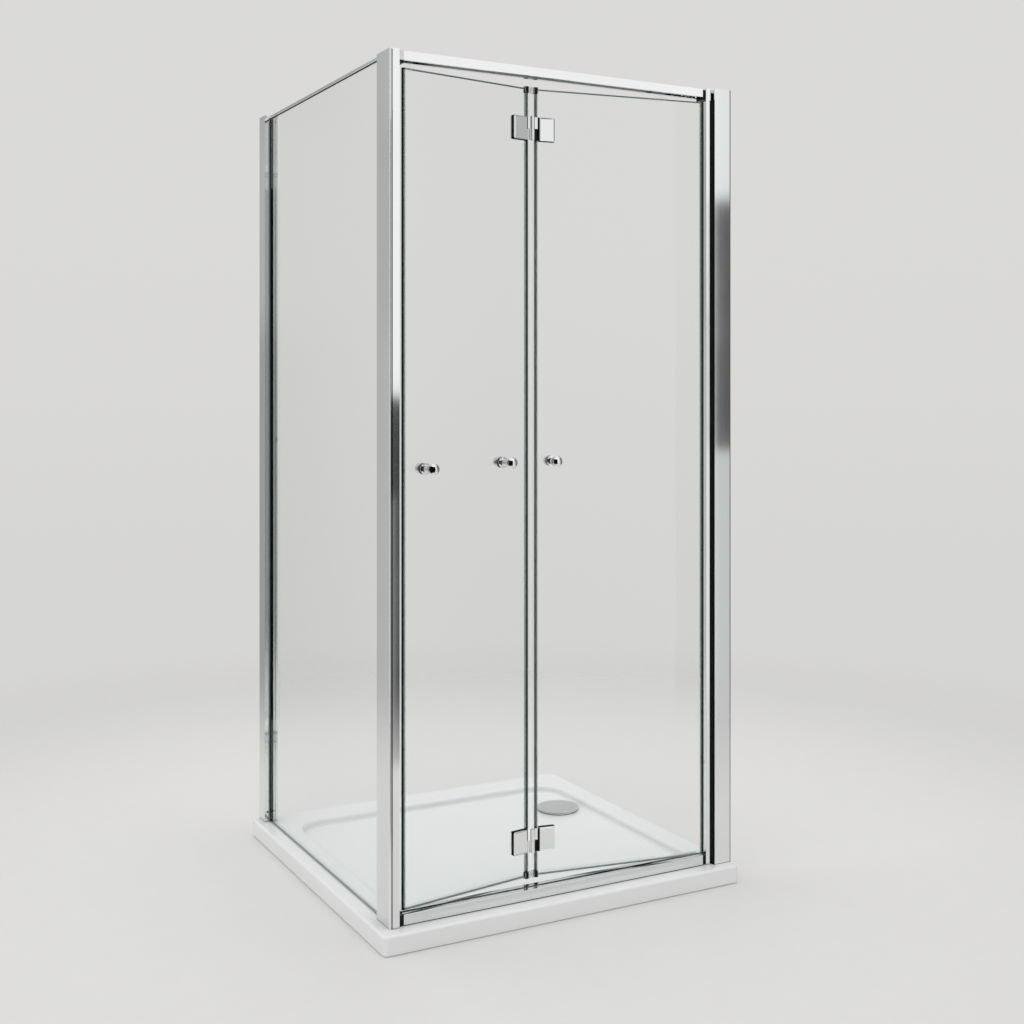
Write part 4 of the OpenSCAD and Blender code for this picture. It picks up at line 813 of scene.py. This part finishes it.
class Studio(bpy.types.Operator):
    """Build the floor, the even studio light, its dark card and the camera"""
    bl_idname = "enclosure.studio"
    bl_label = "Studio"

    def execute(self, context):
        stage = context.scene.enclosure_stage
        self.light(context, stage)
        self.floor(context, stage)
        self.dark_card(context)
        self.camera(context, stage)
        context.scene.view_settings.view_transform = "Standard"
        return {"FINISHED"}

    def light(self, context, stage):
        """A world that lights evenly, is seen plain, and is mirrored as lights and cards."""
        world = bpy.data.worlds.new("studio")
        world.use_nodes = True
        context.scene.world = world
        f = Finish("studio", world.node_tree)
        x, y, z = f.axes(f.node("ShaderNodeTexCoord").outputs["Generated"])
        turn = x.math("ARCTAN2", -y) * DEGREES
        rise = z.math("ARCSINE") * DEGREES
        stops = [(azimuth / 360 + 0.5, grey(brightness)) for azimuth, brightness in RING]
        seen = f.node("ShaderNodeValToRGB", {"stops": stops}, {
            "Fac": turn / 360.0 + 0.5}).outputs["Color"]
        post_card = f.level(f.ramp(turn, *POST_CARD_EDGE, POST_CARD_LIGHT, POST_CARD_DARK))
        for start, end, foot, top, soft, brightness in CARDS:
            across = f.within(turn, start, end, CARD_SIDE if start > 0 else WIDE_CARD_SIDE)
            tone = post_card if brightness is None else grey(brightness)
            seen = f.blend(across * f.within(rise, foot, top, soft), seen, tone)
        ceiling = f.ramp(rise, CEILING_FROM, CEILING_FULL, smooth=True)
        seen = f.blend(ceiling, seen, grey(CEILING))
        even = f.ramp(rise, CEILING_FROM, LIGHT_FULL, stage.fill, stage.fill + stage.overhead,
                      smooth=True) - x * stage.side
        plain = f.blend(f.ramp(rise, *HORIZON, smooth=True), colour(stage.backdrop_low),
                        colour(stage.backdrop))
        path = f.node("ShaderNodeLightPath")
        seen = f.blend(Value(f, path.outputs["Is Diffuse Ray"]), seen, f.level(even))
        seen = f.blend(Value(f, path.outputs["Is Camera Ray"]), seen, plain)
        f.done(f.node("ShaderNodeBackground", None, {"Color": seen, "Strength": 1.0}))

    def floor(self, context, stage):
        """A pale disc that fades into the backdrop's colour."""
        radius, fade_from, fade_to = 3.2, 0.8, 3.1
        mesh = bpy.data.meshes.new("floor")
        disc = bmesh.new()
        bmesh.ops.create_circle(disc, cap_ends=True, segments=96, radius=radius)
        disc.to_mesh(mesh)
        disc.free()
        floor = bpy.data.objects.new("floor", mesh)
        context.scene.collection.objects.link(floor)
        f = Finish("floor")
        x, y, z = f.axes(f.place())
        far = (x * x + y * y) ** 0.5
        grain = f.noise(f.place(), 14.0, 4.0)
        tone = f.blend(f.ramp(grain, 0.35, 0.65), colour(stage.floor), shade(stage.floor, 0.99))
        matt = f.surface(Base_Color=tone, Roughness=0.75, Specular_IOR_Level=0.2)
        clear = f.node("ShaderNodeBsdfTransparent")
        near = f.ramp(far, fade_from, fade_to, 1.0, 0.0, True)
        mesh.materials.append(f.done(f.join(near, clear, matt)))

    def dark_card(self, context):
        """A bent black card round the middle of the knobs, which only mirrors show."""
        radius, foot, top = 0.72, 0.02, 1.86
        start, end = math.radians(-100), math.radians(2)
        middle = (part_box("pivot_knob")[0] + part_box("closing_knob")[1]) / 2
        card = bmesh.new()
        edge = [card.verts.new((radius * math.sin(start), -radius * math.cos(start), z))
                for z in (foot, top)]
        bmesh.ops.spin(card, geom=[*edge, card.edges.new(edge)], cent=(0, 0, 0), axis=(0, 0, 1),
                       dvec=(0, 0, 0), angle=end - start, steps=32, use_merge=False,
                       use_duplicate=False)
        bmesh.ops.translate(card, vec=(middle.x, middle.y, 0), verts=card.verts)
        mesh = bpy.data.meshes.new("dark_card")
        card.to_mesh(mesh)
        card.free()
        made = bpy.data.objects.new("dark_card", mesh)
        context.scene.collection.objects.link(made)
        f = Finish("dark_card")
        nap = f.noise(f.place(), 400.0, 3.0)
        mesh.materials.append(f.done(f.surface(
            Base_Color=f.blend(nap, grey(0.004), grey(0.008)), Roughness=0.95,
            Specular_IOR_Level=0.0)))
        for ray in ("camera", "diffuse", "transmission", "volume_scatter", "shadow"):
            setattr(made, "visible_" + ray, False)

    def camera(self, context, stage):
        camera = bpy.data.cameras.new("camera")
        camera.sensor_width = SENSOR
        camera.lens = stage.lens
        camera.shift_x, camera.shift_y = stage.shift
        camera.clip_end = 100.0
        eye = bpy.data.objects.new("camera", camera)
        eye.location = stage.place
        eye.rotation_euler = (math.radians(90), 0, stage.azimuth)
        context.scene.collection.objects.link(eye)
        context.scene.camera = eye


OPERATORS = [TrayFinish, ProfileFinish, GlassFinish, SealFinish, HardwareFinish, Studio]


class EnclosurePanel(bpy.types.Panel):
    """Lists the settings and the steps that dress the enclosure"""
    bl_idname = "VIEW3D_PT_enclosure"
    bl_label = "Shower enclosure"
    bl_space_type = "VIEW_3D"
    bl_region_type = "UI"
    bl_category = "Enclosure"

    def draw(self, context):
        for group in (context.scene.enclosure_finishes, context.scene.enclosure_stage):
            box = self.layout.box()
            for name in group.__annotations__:
                box.prop(group, name)
        for operator in OPERATORS:
            self.layout.operator(operator.bl_idname)


GROUPS = {"enclosure_finishes": EnclosureFinishes, "enclosure_stage": EnclosureStage}


def register():
    for made in [*GROUPS.values(), *OPERATORS, EnclosurePanel]:
        bpy.utils.register_class(made)
    for name, group in GROUPS.items():
        setattr(bpy.types.Scene, name, bpy.props.PointerProperty(type=group))


def unregister():
    for name in GROUPS:
        delattr(bpy.types.Scene, name)
    for made in [EnclosurePanel, *reversed(OPERATORS), *GROUPS.values()]:
        bpy.utils.unregister_class(made)


def main():
    register()
    for operator in OPERATORS:
        group, name = operator.bl_idname.split(".")
        getattr(getattr(bpy.ops, group), name)()


if __name__ == "__main__":
    main()
